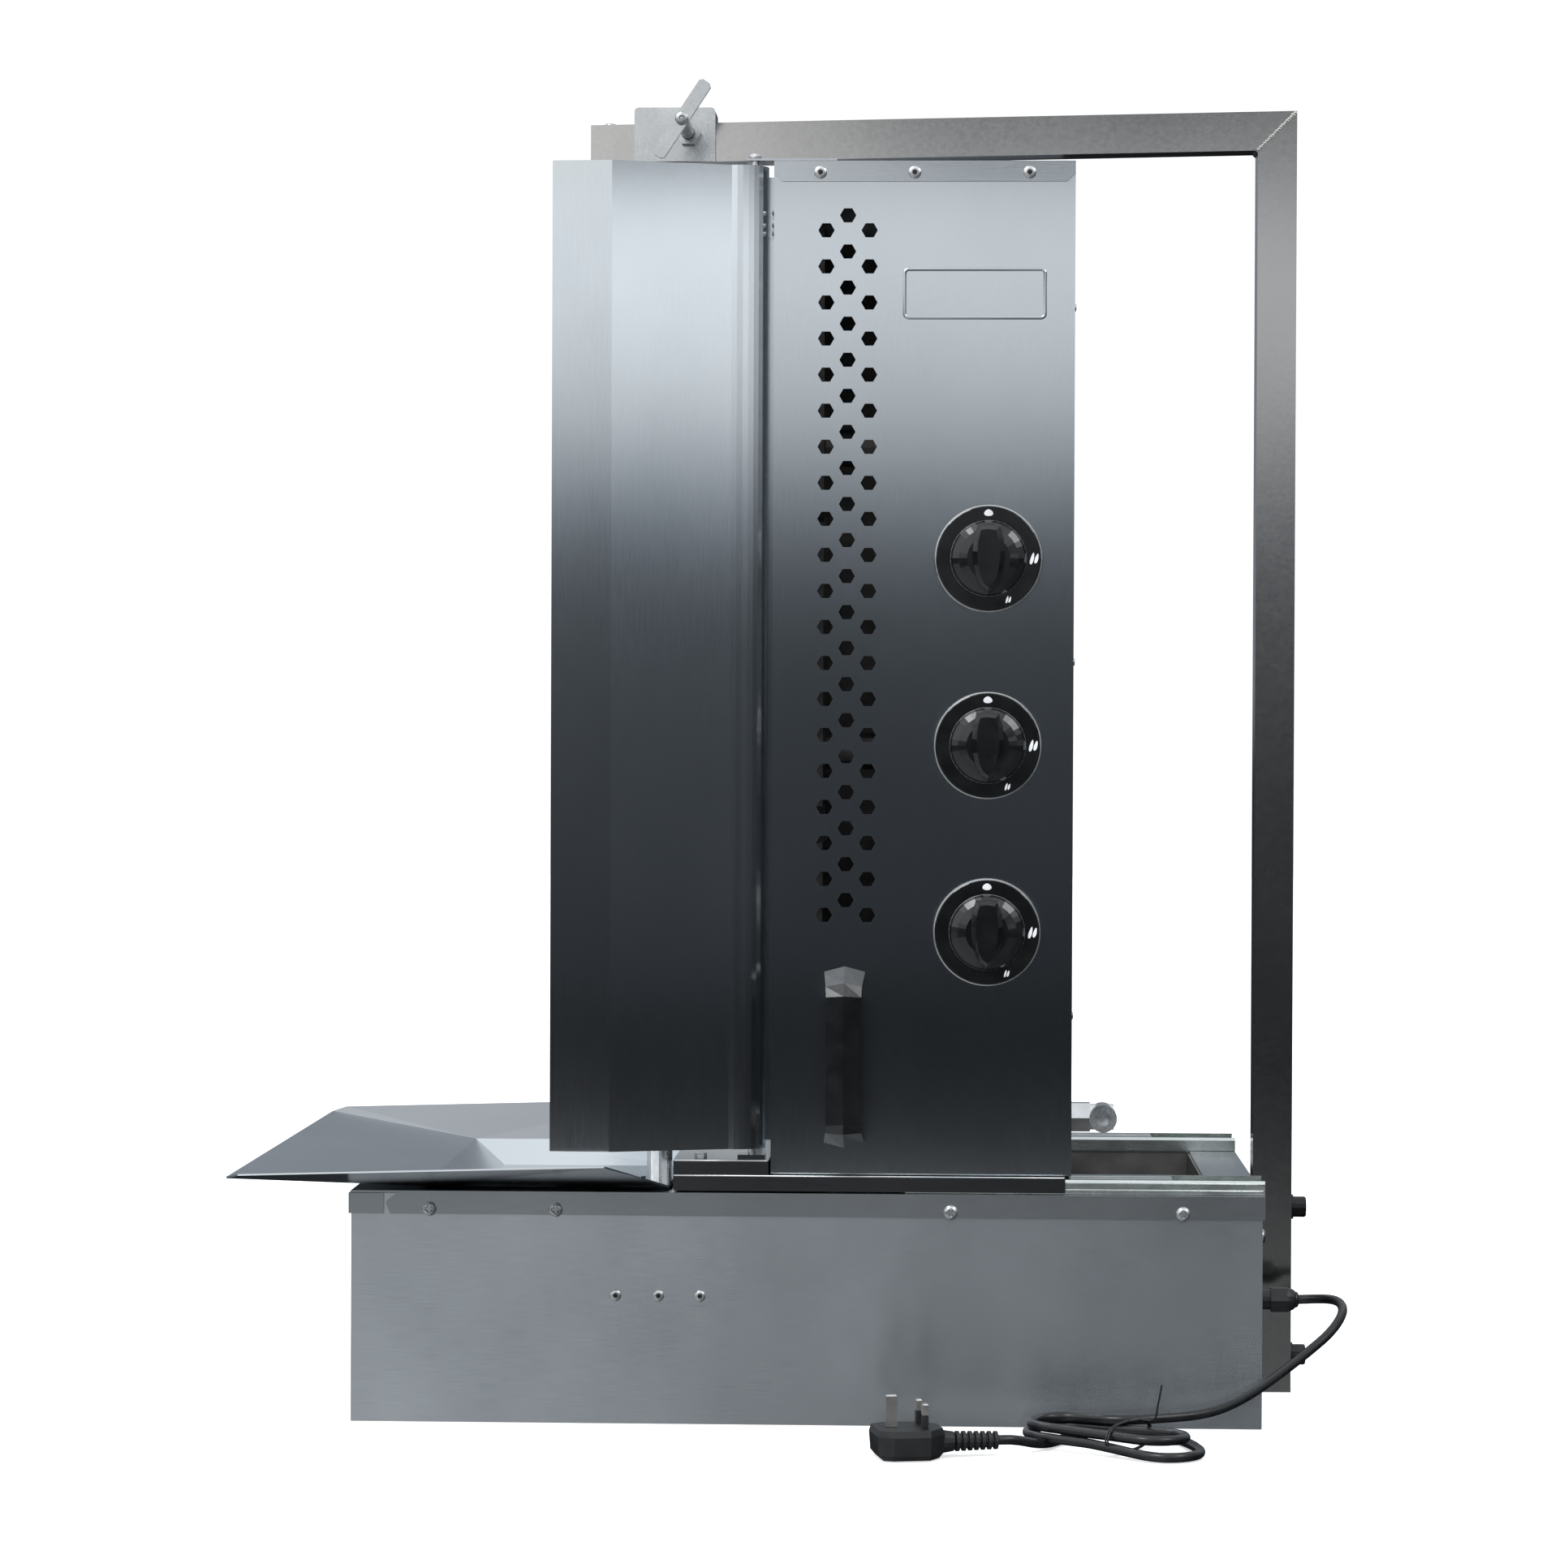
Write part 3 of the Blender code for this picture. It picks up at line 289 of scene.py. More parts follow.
def materials():
    steel_dark, steel_light = (0.51, 0.545, 0.565), (0.61, 0.645, 0.665)
    warm_dark, warm_light = (0.44, 0.435, 0.425), (0.58, 0.575, 0.56)
    return {
        "panel": brushed("brushed_upright", steel_dark, steel_light, UPRIGHT),
        "base": brushed("brushed_base", (0.44, 0.475, 0.50), (0.62, 0.66, 0.69), LENGTHWISE,
                        (0.18, 0.23), 1.0, 0.25, 0.5),
        "sheet": brushed("brushed_flat", steel_dark, steel_light, LENGTHWISE, (0.17, 0.25),
                         0.0),
        # The door's light tone is raised above the panels': a painted highlight for the brighter
        # reflection the door catches at its angle
        "door": brushed("brushed_door", steel_dark, (0.67, 0.70, 0.72), UPRIGHT,
                        (0.12, 0.17)),
        "tube": brushed("satin_tube", warm_dark, warm_light, (300, 300, 300), (0.10, 0.13),
                        0.0),
        "cover": brushed("polished_cover", steel_dark, steel_light, LENGTHWISE, (0.08, 0.12),
                         0.0),
        "dark": brushed("polished_strip", (0.105, 0.11, 0.115), (0.17, 0.175, 0.18), LENGTHWISE,
                        (0.14, 0.2), 0.0),
        "bright": plain_steel("bright_steel", (0.55, 0.55, 0.55), (0.70, 0.70, 0.70), 0.22),
        "zinc": plain_steel("bright_zinc", (0.62, 0.64, 0.65), (0.80, 0.82, 0.82), 0.20),
        "galvanised": plain_steel("slide_zinc", (0.54, 0.58, 0.56), (0.64, 0.68, 0.66), 0.26,
                                  (60, 900, 900), 0.06),
        "dull": plain_steel("dull_liner", (0.20, 0.195, 0.19), (0.33, 0.32, 0.31), 0.42),
        "brass": plain_steel("machined_brass", (0.58, 0.44, 0.20), (0.74, 0.60, 0.33), 0.28),
        "gloss": plastic("gloss_black", (0.0030, 0.0032, 0.0036), 0.15, 1500, 0.02, 0.25),
        "skirt": plastic("gloss_skirt", (0.0032, 0.0034, 0.0038), 0.13, 1500, 0.02, 0.3),
        "gland": plastic("gland_nylon", (0.0042, 0.0044, 0.0048), 0.34, 1800, 0.10),
        "cord": plastic("cord_sheath", (0.0035, 0.0041, 0.0050), 0.27, 2600, 0.10, 0.05, 0.2),
        "plug": plug_plastic(),
        "bolt": plain_steel("black_oxide", (0.020, 0.020, 0.021), (0.06, 0.06, 0.062), 0.40),
        "motor": painted("grey_enamel", (0.17, 0.18, 0.195), 0.42),
        "ceramic": ceramic(),
        "print": plastic("white_print", (0.52, 0.53, 0.54), 0.45, 2600, 0.05),
        "screw": plain_steel("screw_steel", (0.45, 0.46, 0.46), (0.66, 0.67, 0.67), 0.27),
        "weld": plain_steel("weld_bead", (0.34, 0.33, 0.31), (0.60, 0.58, 0.55), 0.33,
                            (900, 900, 900)),
    }


NODE_LOOKS = {
    "panel": ("burner_side_right", "burner_side_left", "burner_rear", "burner_front",
              "badge_frame", "hinge_plate_right", "hinge_plate_left"),
    "base": ("base_shell", "base_floor"),
    "sheet": ("deck_plate", "rim_front", "motor_shelf", "catch_pan"),
    "cover": ("burner_cover",),
    "dark": ("sled_plate", "carriage_ledge"),
    "door": ("door_right", "door_left"),
    "tube": ("mast_frame", "mast_pad"),
    "bright": ("drive_shaft", "spit_rod", "spit_disc", "centre_pin", "door_pin_right",
               "door_pin_left", "valve_stem_1", "valve_stem_2", "valve_stem_3"),
    "zinc": ("clamp_nut", "clamp_screw", "gas_elbow", "top_saddle"),
    "galvanised": ("slide_outer_right", "slide_outer_left", "slide_inner_right",
                   "slide_inner_left"),
    "dull": ("well_liner",),
    "ceramic": ("burner_1", "burner_2", "burner_3"),
    "brass": ("gas_manifold",),
    "gloss": ("handle", "knob_1", "knob_2", "knob_3"),
    "skirt": ("knob_skirt_1", "knob_skirt_2", "knob_skirt_3"),
    "gland": ("cable_gland",),
    "cord": ("cord_lead", "cord_hank", "cord_tail"),
    "plug": ("mains_plug",),
    "bolt": ("mast_bolt_upper", "mast_bolt_lower"),
    "motor": ("gear_motor",),
}


def dress_nodes(looks):
    for look, names in NODE_LOOKS.items():
        for name in names:
            slots = NODES[name].material_slots
            if not slots:
                NODES[name].data.materials.append(looks[look])
            for slot in slots:
                slot.material = looks[look]


# ---------------------------------------------------------------- Mesh helpers
def piece(name, mesh, body, look, smooth=True):
    obj = bpy.data.objects.new(name, mesh)
    bpy.context.scene.collection.objects.link(obj)
    mesh.materials.append(look)
    if smooth and hasattr(mesh, "polygons"):
        mesh.polygons.foreach_set("use_smooth", [True] * len(mesh.polygons))
        mesh.set_sharp_from_angle(angle=math.radians(38))
    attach(obj, body)
    return obj


def frame_at(centre, out, up=(0, 0, 1)):
    """Axes whose Z is out, at centre, with Y as near up as can be."""
    z = Vector(out).normalized()
    up = Vector(up)
    if abs(z.dot(up)) > 0.95:
        up = Vector((0, 1, 0))
    x = up.cross(z).normalized()
    y = z.cross(x)
    turned = Matrix((x, y, z)).transposed().to_4x4()
    return Matrix.Translation(centre) @ turned


def loft(bm, place, loops, cap=True):
    """Closed loops of points joined in order; each loop is [(x, y, z), ...] in place's axes."""
    made = [[bm.verts.new(place @ Vector(p)) for p in loop] for loop in loops]
    for a, b in zip(made, made[1:]):
        n = len(a)
        for i in range(n):
            bm.faces.new((a[i], a[(i + 1) % n], b[(i + 1) % n], b[i]))
    if cap:
        bm.faces.new(list(reversed(made[0])))
        bm.faces.new(made[-1])


def lathe(bm, place, profile, n=24, cap=True):
    """profile is (radius, height) pairs, from the base up."""
    turn = [2 * math.pi * i / n for i in range(n)]
    loft(bm, place, [[(r * math.cos(t), r * math.sin(t), h) for t in turn]
                     for r, h in profile], cap)


def done(bm):
    bmesh.ops.recalc_face_normals(bm, faces=bm.faces)
    mesh = bpy.data.meshes.new("mesh")
    bm.to_mesh(mesh)
    bm.free()
    return mesh


def pan_head(bm, centre, out, d, h, n=32):
    """A domed screw head with a cross recess pressed into it."""
    r = d / 2
    place = frame_at(centre, out)
    slot_w, slot_r = 0.11 * d, 0.27 * d
    loops = []
    for f, z in ((1.0, 0.0), (1.0, 0.28), (0.95, 0.55), (0.82, 0.80), (0.62, 0.94), (0.50, 0.97),
                 (0.38, 1.0), (0.25, 1.0), (0.12, 1.0), (0.02, 1.0)):
        loop = []
        for i in range(n):
            t = 2 * math.pi * i / n
            x, y = f * r * math.cos(t), f * r * math.sin(t)
            sunk = f * r < slot_r and (abs(x) < slot_w or abs(y) < slot_w)
            loop.append((x, y, h * z - (0.45 * h if sunk else 0)))
        loops.append(loop)
    loft(bm, place, loops)


def rivet(bm, centre, out, d, h):
    """The flat rim of a pop rivet, with an open bore."""
    r = d / 2
    lathe(bm, frame_at(centre, out), [(r, 0), (r * 0.98, h * 0.35), (r * 0.86, h * 0.8),
                                      (r * 0.62, h), (r * 0.40, h), (r * 0.36, h * 0.3),
                                      (0.0002, h * 0.25)], 24)


def bore(bm, centre, out, d, h):
    """The broken stem at the bottom of a rivet's bore; in black oxide its near-black is painted
    shade in the hole.
    """
    r = d / 2
    lathe(bm, frame_at(centre, out), [(r * 0.35, h * 0.26), (r * 0.34, h * 0.44),
                                      (r * 0.20, h * 0.56), (r * 0.05, h * 0.50)], 20)


def hex_head(bm, centre, out, across, h):
    r = across / math.sqrt(3)
    turn = [2 * math.pi * i / 6 for i in range(6)]
    loops = [[(f * r * math.cos(t), f * r * math.sin(t), z) for t in turn]
             for f, z in ((1, 0), (1, h * 0.86), (0.93, h))]
    loft(bm, frame_at(centre, out), loops)


# ---------------------------------------------------------------- Fasteners
def fasteners(looks):
    bm = bmesh.new()
    for x in (-0.276, -0.183, 0.1065, 0.276):
        for s in (-1, 1):
            pan_head(bm, (x, s * RIM_Y, 0.1570), (0, s, 0), 0.0105, 0.0034)
    bores = bmesh.new()
    for x in SHELF_X:
        for s in (-1, 1):
            rivet(bm, (x, s * SHELF_Y, SHELF_Z), (0, s, 0), 0.0085, 0.0016)
            bore(bores, (x, s * SHELF_Y, SHELF_Z), (0, s, 0), 0.0085, 0.0016)
    for y in (-0.180, 0.180):
        pan_head(bm, (0.3340, y, 0.1390), (1, 0, 0), 0.0105, 0.0034)
    piece("screws_base", done(bm), "base", looks["screw"])
    # The near-black stems in these bores are painted shade in the rivet holes
    piece("shelf_rivet_bore_shade", done(bores), "base", looks["bolt"])

    bm, bores = bmesh.new(), bmesh.new()
    for x in (0.008, 0.077, 0.161):
        for s in (-1, 1):
            rivet(bm, (x, s * COVER_Y, 0.9175), (0, s, 0), 0.0096, 0.0016)
            bore(bores, (x, s * COVER_Y, 0.9175), (0, s, 0), 0.0096, 0.0016)
    for z in (0.30, 0.56, 0.82):
        for y in (-0.176, 0.176):
            rivet(bm, (0.1946, y, z), (1, 0, 0), 0.0060, 0.0012)
    piece("rivets_cover", done(bm), "carriage", looks["screw"])
    # The near-black stems in these bores are painted shade in the rivet holes
    piece("cover_rivet_bore_shade", done(bores), "carriage", looks["bolt"])

    bm = bmesh.new()
    for y in (-0.176, 0.176):
        hex_head(bm, (-0.0780, y, 0.1935), (0, 0, 1), 0.0080, 0.0036)
    piece("bolts_ledge", done(bm), "carriage", looks["bright"])


# ---------------------------------------------------------------- Knobs
def printed_mark(bm, place, outline, inset, z0, z1):
    """A flat printed mark: an outline lifted from z0 to z1, its top a little smaller."""
    mid = Vector((sum(p[0] for p in outline), sum(p[1] for p in outline))) / len(outline)
    loops = []
    for f, z in ((1.0, z0), (inset, z1)):
        loops.append([(*(mid + (Vector(p) - mid) * f), z) for p in outline])
    loft(bm, place, loops)


def oval(tall, wide, lean=0.0, across=0.0, n=18):
    """A closed oval, a little fuller below, leaning to one side."""
    turn = [2 * math.pi * i / n for i in range(n)]
    return [(across + wide * math.sin(t) * (1 - 0.25 * math.cos(t)) + lean * tall * math.cos(t),
             tall * math.cos(t)) for t in turn]


def flame(size):
    """Two leaning leaves, the generic sign for a flame setting."""
    return [oval(0.50 * size, 0.15 * size, 0.25, -0.17 * size),
            oval(0.42 * size, 0.15 * size, 0.25, 0.19 * size)]


def dials(looks):
    face = PANEL_Y - 0.0066
    for k, z in enumerate(KNOB_Z, 1):
        marks = bmesh.new()
        for angle, size in ((0, 0.0), (90, 0.0090), (154, 0.0056)):
            t = math.radians(angle)
            at = (KNOB_X + MARK_R * math.sin(t), face, z + MARK_R * math.cos(t))
            place = frame_at(at, (0, -1, 0))
            for stroke in flame(size) if size else [oval(0.0026, 0.0034)]:
                printed_mark(marks, place, stroke, 0.9, -0.0001, 0.00012)
        piece(f"dial_marks_{k}", done(marks), f"dial_{k}", looks["print"],
              smooth=False)
        rims = bmesh.new()
        place = frame_at((KNOB_X, PANEL_Y, z), (0, -1, 0))
        for r, low, high, w in ((SKIRT_R, 0.0045, 0.0062, 0.0006),
                                (GRIP_R, 0.0068, 0.0080, 0.0008)):
            turn = [2 * math.pi * i / 64 for i in range(64)]
            loops = [[((r + g) * math.cos(t), (r + g) * math.sin(t), h) for t in turn]
                     for g, h in ((0.00005, low), (0.0003, (low + high) / 2), (0.00005, high),
                                  (-w, high + 0.0001), (-w, low))]
            made = [[rims.verts.new(place @ Vector(p)) for p in loop] for loop in loops]
            for p, q in zip(made, made[1:] + made[:1]):
                for i in range(64):
                    rims.faces.new((p[i], p[(i + 1) % 64], q[(i + 1) % 64], q[i]))
        piece(f"dial_rims_{k}", done(rims), f"dial_{k}", looks["screw"])


# ---------------------------------------------------------------- Burner guards
def bar(bm, a, b, r, n=8):
    """A round wire from a to b with softened ends."""
    a, b = Vector(a), Vector(b)
    place = frame_at(a, b - a, (0, 1, 0) if abs((b - a).normalized().z) > 0.9 else (0, 0, 1))
    long = (b - a).length
    lathe(bm, place, [(r * 0.6, 0), (r, r * 0.5), (r, long - r * 0.5), (r * 0.6, long)], n)


def burner_guards(looks):
    """A welded wire guard over each ceramic tile."""
    for k in range(1, 4):
        lo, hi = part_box(f"burner_{k}")
        y0, y1, z0, z1 = lo.y + 0.004, hi.y - 0.004, lo.z + 0.004, hi.z - 0.004
        x = lo.x - 0.0013
        bm = bmesh.new()
        for i in range(13):
            y = y0 + (y1 - y0) * i / 12
            bar(bm, (x, y, z0), (x, y, z1), 0.0009)
        for i in range(7):
            z = z0 + (z1 - z0) * i / 6
            bar(bm, (x - 0.0015, y0, z), (x - 0.0015, y1, z), 0.0011)
        piece(f"burner_guard_{k}", done(bm), "carriage", looks["bright"])


def badge(looks):
    """The pressed frame on the control side: a round-topped rib with round corners, left blank."""
    lo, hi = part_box("badge_frame")
    mid_x, mid_z = (lo.x + hi.x) / 2, (lo.z + hi.z) / 2
    half_x, half_z = (hi.x - lo.x) / 2 - BADGE_R, (hi.z - lo.z) / 2 - BADGE_R
    corner = 0.0030
    path = []
    for cx, cz, start in ((1, 1, 0), (-1, 1, 90), (-1, -1, 180), (1, -1, 270)):
        for i in range(7):
            t = math.radians(start + 15 * i)
            path.append((Vector((cx * (half_x - corner), cz * (half_z - corner)))
                         + corner * Vector((math.cos(t), math.sin(t))),
                         Vector((math.cos(t), math.sin(t)))))
    bm = bmesh.new()
    rows = []
    for p, n in path:
        row = []
        for i in range(9):
            t = math.pi * i / 8
            q = p + n * BADGE_R * math.cos(t)
            row.append(bm.verts.new((mid_x + q.x, PANEL_Y - BADGE_R * math.sin(t),
                                     mid_z + q.y)))
        rows.append(row)
    for a, b in zip(rows, rows[1:] + rows[:1]):
        for i in range(9):
            j = (i + 1) % 9
            bm.faces.new((a[i], a[j], b[j], b[i]))
    frame_rib = piece("badge_rib", done(bm), "carriage", looks["sheet"])
    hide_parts("badge_frame")


def inner_shade_sheet(looks):
    """A dark folded sheet inside the burner housing, behind the louvres: painted shade, put there
    so the housing looks dark through the louvres.
    """
    y, x0, x1, z0, z1, t = 0.166, 0.002, 0.182, 0.225, 0.905, 0.0010
    section = [(x0, y - 0.010), (x0, y), (x1, y), (x1, y - 0.010), (x1 - t, y - 0.010),
               (x1 - t, y - t), (x0 + t, y - t), (x0 + t, y - 0.010)]
    bm = bmesh.new()
    loft(bm, Matrix.Identity(4), [[(px, py, z) for px, py in section] for z in (z0, z1)])
    for z in (0.34, 0.56, 0.78):
        rivet(bm, (0.16, y - t, z), (0, -1, 0), 0.0060, 0.0012)
    # The dull sheet and its rivets are painted shade behind the louvres
    piece("inner_shade_sheet", done(bm), "carriage", looks["dull"])


def hinge_details(looks):
    bm = bmesh.new()
    for z in (0.8880, 0.8790, 0.8730):
        for s in (-1, 1):
            rivet(bm, (-0.0260, s * 0.1880, z), (-1, s * 0.6, 0), 0.0040, 0.0010)
    piece("gap_rivets", done(bm), "carriage", looks["screw"])

    # Folded closing strips behind the rolled edges of the doors
    section = [(-0.0345, 0.1730), (-0.0262, 0.1730), (-0.0262, 0.1722), (-0.0337, 0.1722),
               (-0.0337, 0.1700), (-0.0345, 0.1700)]
    bm = bmesh.new()
    for s in (-1, 1):
        loft(bm, Matrix.Identity(4), [[(x, s * y, z) for x, y in section]
                                      for z in (0.2065, 0.9160)])
    piece("closing_strips", done(bm), "carriage", looks["panel"],
          smooth=False)


def bright_edges(looks):
    """Bright zinc beads along the upper edges of the sled and its ledge, a painted highlight where
    these edges catch the light, and the slides' rolled ridges.
    """
    bm, ridges = bmesh.new(), bmesh.new()
    for s in (-1, 1):
        bar(bm, (-0.0965, s * 0.1995, 0.1824), (0.1895, s * 0.1995, 0.1824), 0.0006)
        bar(bm, (-0.0965, s * 0.1995, 0.1934), (-0.0280, s * 0.1995, 0.1934), 0.0006)
        lo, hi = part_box("slide_outer_right" if s < 0 else "slide_outer_left")
        y = (lo.y if s < 0 else hi.y)
        for z in (0.1785, 0.1735):
            bar(ridges, (lo.x + 0.001, y, z), (hi.x - 0.001, y, z), 0.0006)
    # The sled's bright beads are a painted highlight along the dark strips' top edges
    piece("sled_edge_highlights", done(bm), "carriage", looks["zinc"])
    piece("slide_ridges", done(ridges), "base", looks["galvanised"])


def clamp_rivet(looks):
    """The swaged end of the screw that holds the T-bar."""
    bm = bmesh.new()
    end = (CLAMP_X, CLAMP_Y, CLAMP_Z)
    rivet(bm, end, (0, -1, 0), 0.0100, 0.0024)
    bore(bm, end, (0, -1, 0), 0.0100, 0.0024)
    piece("clamp_rivet", done(bm), "clamp", looks["screw"])


# ---------------------------------------------------------------- Mast details
def welds(looks):
    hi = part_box("mast_frame")[1]
    bm = bmesh.new()
    h = TUBE / 2
    top, back = hi.z, hi.x
    inner_x, inner_z = back - TUBE, top - TUBE - 0.0004

    def bead(a, b, w):
        """Places and widths for a row of shallow overlapping scales from a to b."""
        a, b = Vector(a), Vector(b)
        along = b - a
        count = max(4, round(along.length / WELD_PITCH))
        for i in range(count):
            c = a + along * (i + 0.5) / count
            swell = w * (1 + 0.16 * math.sin(2.3 * i))
            yield c, swell
    for s in (-1, 1):
        for c, w in bead((inner_x, s * (h - 0.0003), inner_z),
                         (back - 0.0008, s * (h - 0.0003), top - 0.0008), 0.0018):
            lathe(bm, frame_at(c, (0, s, 0)), [(w, 0), (w * 0.8, 0.00028), (w * 0.4, 0.00042),
                                               (0.0001, 0.00046)], 10)
    for c, w in bead((inner_x - 0.0006, -h + 0.002, inner_z - 0.0006),
                     (inner_x - 0.0006, h - 0.002, inner_z - 0.0006), 0.0024):
        lathe(bm, frame_at(c, (-1, 0, -1)), [(w, -0.0012), (w * 0.9, 0.0004),
                                             (w * 0.5, 0.0011), (0.0001, 0.0013)], 10)
    piece("mast_welds", done(bm), "base", looks["weld"])

    bm = bmesh.new()
    rivet(bm, (-0.161, 0.0, hi.z - 0.0104 - 0.0003), (0, 0, 1), 0.0104, 0.0032)
    piece("arm_stud", done(bm), "base", looks["bright"])


# ---------------------------------------------------------------- Mains lead
def catmull(points, step):
    pts = [Vector(p) for p in points]
    pts = [pts[0] * 2 - pts[1]] + pts + [pts[-1] * 2 - pts[-2]]
    out = []
    for i in range(1, len(pts) - 2):
        a, b, c, d = pts[i - 1:i + 3]
        n = max(1, round((c - b).length / step))
        for k in range(n):
            t = k / n
            out.append(0.5 * (2 * b + (c - a) * t + (2 * a - 5 * b + 4 * c - d) * t * t
                              + (3 * b - a - 3 * c + d) * t ** 3))
    out.append(pts[-2])
    return out


def hank_turns():
    """One and a half turns of the hank, from its back run round the plug side to its front run."""
    u_axis = Vector((math.cos(HANK_TURN), math.sin(HANK_TURN)))
    v_axis = Vector((-u_axis.y, u_axis.x))
    straight, start, first_z, fall, spread = 2 * HANK_HALF, -0.012, 0.0176, 0.0068, 0.003
    out = []
    travelled, total, step = 0.0, 0.4106, 0.0114
    while travelled <= total:
        lap = 2 * straight + 2 * math.pi * HANK_R
        turns = travelled / lap
        r = HANK_R + spread * turns
        s = (travelled + HANK_HALF - start) % lap
        bend = math.pi * HANK_R
        if s < straight:
            u, v = HANK_HALF - s, r
        elif s < straight + bend:
            t = (s - straight) / HANK_R
            u, v = -HANK_HALF - r * math.sin(t), r * math.cos(t)
        elif s < 2 * straight + bend:
            u, v = -HANK_HALF + (s - straight - bend), -r
        else:
            t = (s - 2 * straight - bend) / HANK_R
            u, v = HANK_HALF + r * math.sin(t), -r * math.cos(t)
        p = HANK_AT + u_axis * u + v_axis * v
        out.append((p.x, p.y, first_z - fall * turns))
        travelled += step
    return out


def mains_lead(looks):
    data = bpy.data.curves.new("mains_lead", "CURVE")
    data.dimensions = "3D"
    data.bevel_depth = CORD_D / 2
    data.bevel_resolution = 5
    data.use_fill_caps = True
    route = catmull([*LEAD, *hank_turns(), *LOOP], 0.004)
    spline = data.splines.new("POLY")
    spline.points.add(len(route) - 1)
    for point, co in zip(spline.points, route):
        point.co = (*co, 1)
    spline.use_smooth = True
    cord = piece("mains_lead", data, "base", looks["cord"])
    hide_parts("cord_lead", "cord_hank", "cord_tail")

    bm = bmesh.new()
    lathe(bm, frame_at((GLAND_END, GLAND_Y, GLAND_Z), (1, 0, 0)),
          [(0.0060, 0), (0.0061, 0.0010), (0.0054, 0.0022), (0.0042, 0.0028), (0.0037, 0.0028),
           (0.0037, 0.0)], 24, cap=False)
    piece("gland_seal", done(bm), "base", looks["cord"])


def twist_tie(looks):
    """A thin wire tie, twisted twice round the hank, with one end left standing."""
    data = bpy.data.curves.new("hank_tie", "CURVE")
    data.dimensions = "3D"
    data.bevel_depth = 0.0007
    data.bevel_resolution = 2
    data.use_fill_caps = True
    u_axis = Vector((math.cos(HANK_TURN), math.sin(HANK_TURN)))
    v_axis = Vector((-u_axis.y, u_axis.x))
    at = HANK_AT + u_axis * 0.016
    half, mid_z, high = 0.0304, 0.0112, 0.0106
    pts = []
    for i in range(49):
        t = math.pi * 0.5 + 4 * math.pi * i / 48
        flat = math.copysign(abs(math.cos(t)) ** 0.7, math.cos(t))
        side = at + v_axis * half * flat + u_axis * (0.0035 * i / 48)
        pts.append((side.x, side.y, max(0.0011, mid_z + high * math.sin(t))))
    stem = at + u_axis * 0.0240
    for du, dv, z in ((-0.014, 0.001, 0.0238), (-0.005, 0.000, 0.0236), (0.000, -0.001, 0.0265),
                      (0.0016, -0.0016, 0.0330),
                      (0.0040, -0.0020, 0.0430), (0.0052, -0.0018, 0.0500)):
        p = stem + u_axis * du + v_axis * dv
        pts.append((p.x, p.y, z))
    pts = catmull(pts, 0.003)
    spline = data.splines.new("POLY")
    spline.points.add(len(pts) - 1)
    for point, co in zip(spline.points, pts):
        point.co = (*co, 1)
    piece("hank_tie", data, "base", looks["gland"])


# ---------------------------------------------------------------- Stage
def stage():
    bm = bmesh.new()
    size = 12.0
    corners = [bm.verts.new((x * size, y * size, -0.0004))
               for x, y in ((-1, -1), (1, -1), (1, 1), (-1, 1))]
    bm.faces.new(corners)
    floor = bpy.data.objects.new("floor", done(bm))
    bpy.context.scene.collection.objects.link(floor)
    m = Nodes("floor_white")
    m.set(Base_Color=(0.86, 0.86, 0.86, 1.0), Roughness=0.9)
    m.shader.inputs["Specular IOR Level"].default_value = 0.0
    m.shader.inputs["Emission Color"].default_value = (1, 1, 1, 1)
    m.shader.inputs["Emission Strength"].default_value = 0.55
    floor.data.materials.append(m.mat)
    floor.visible_glossy = False


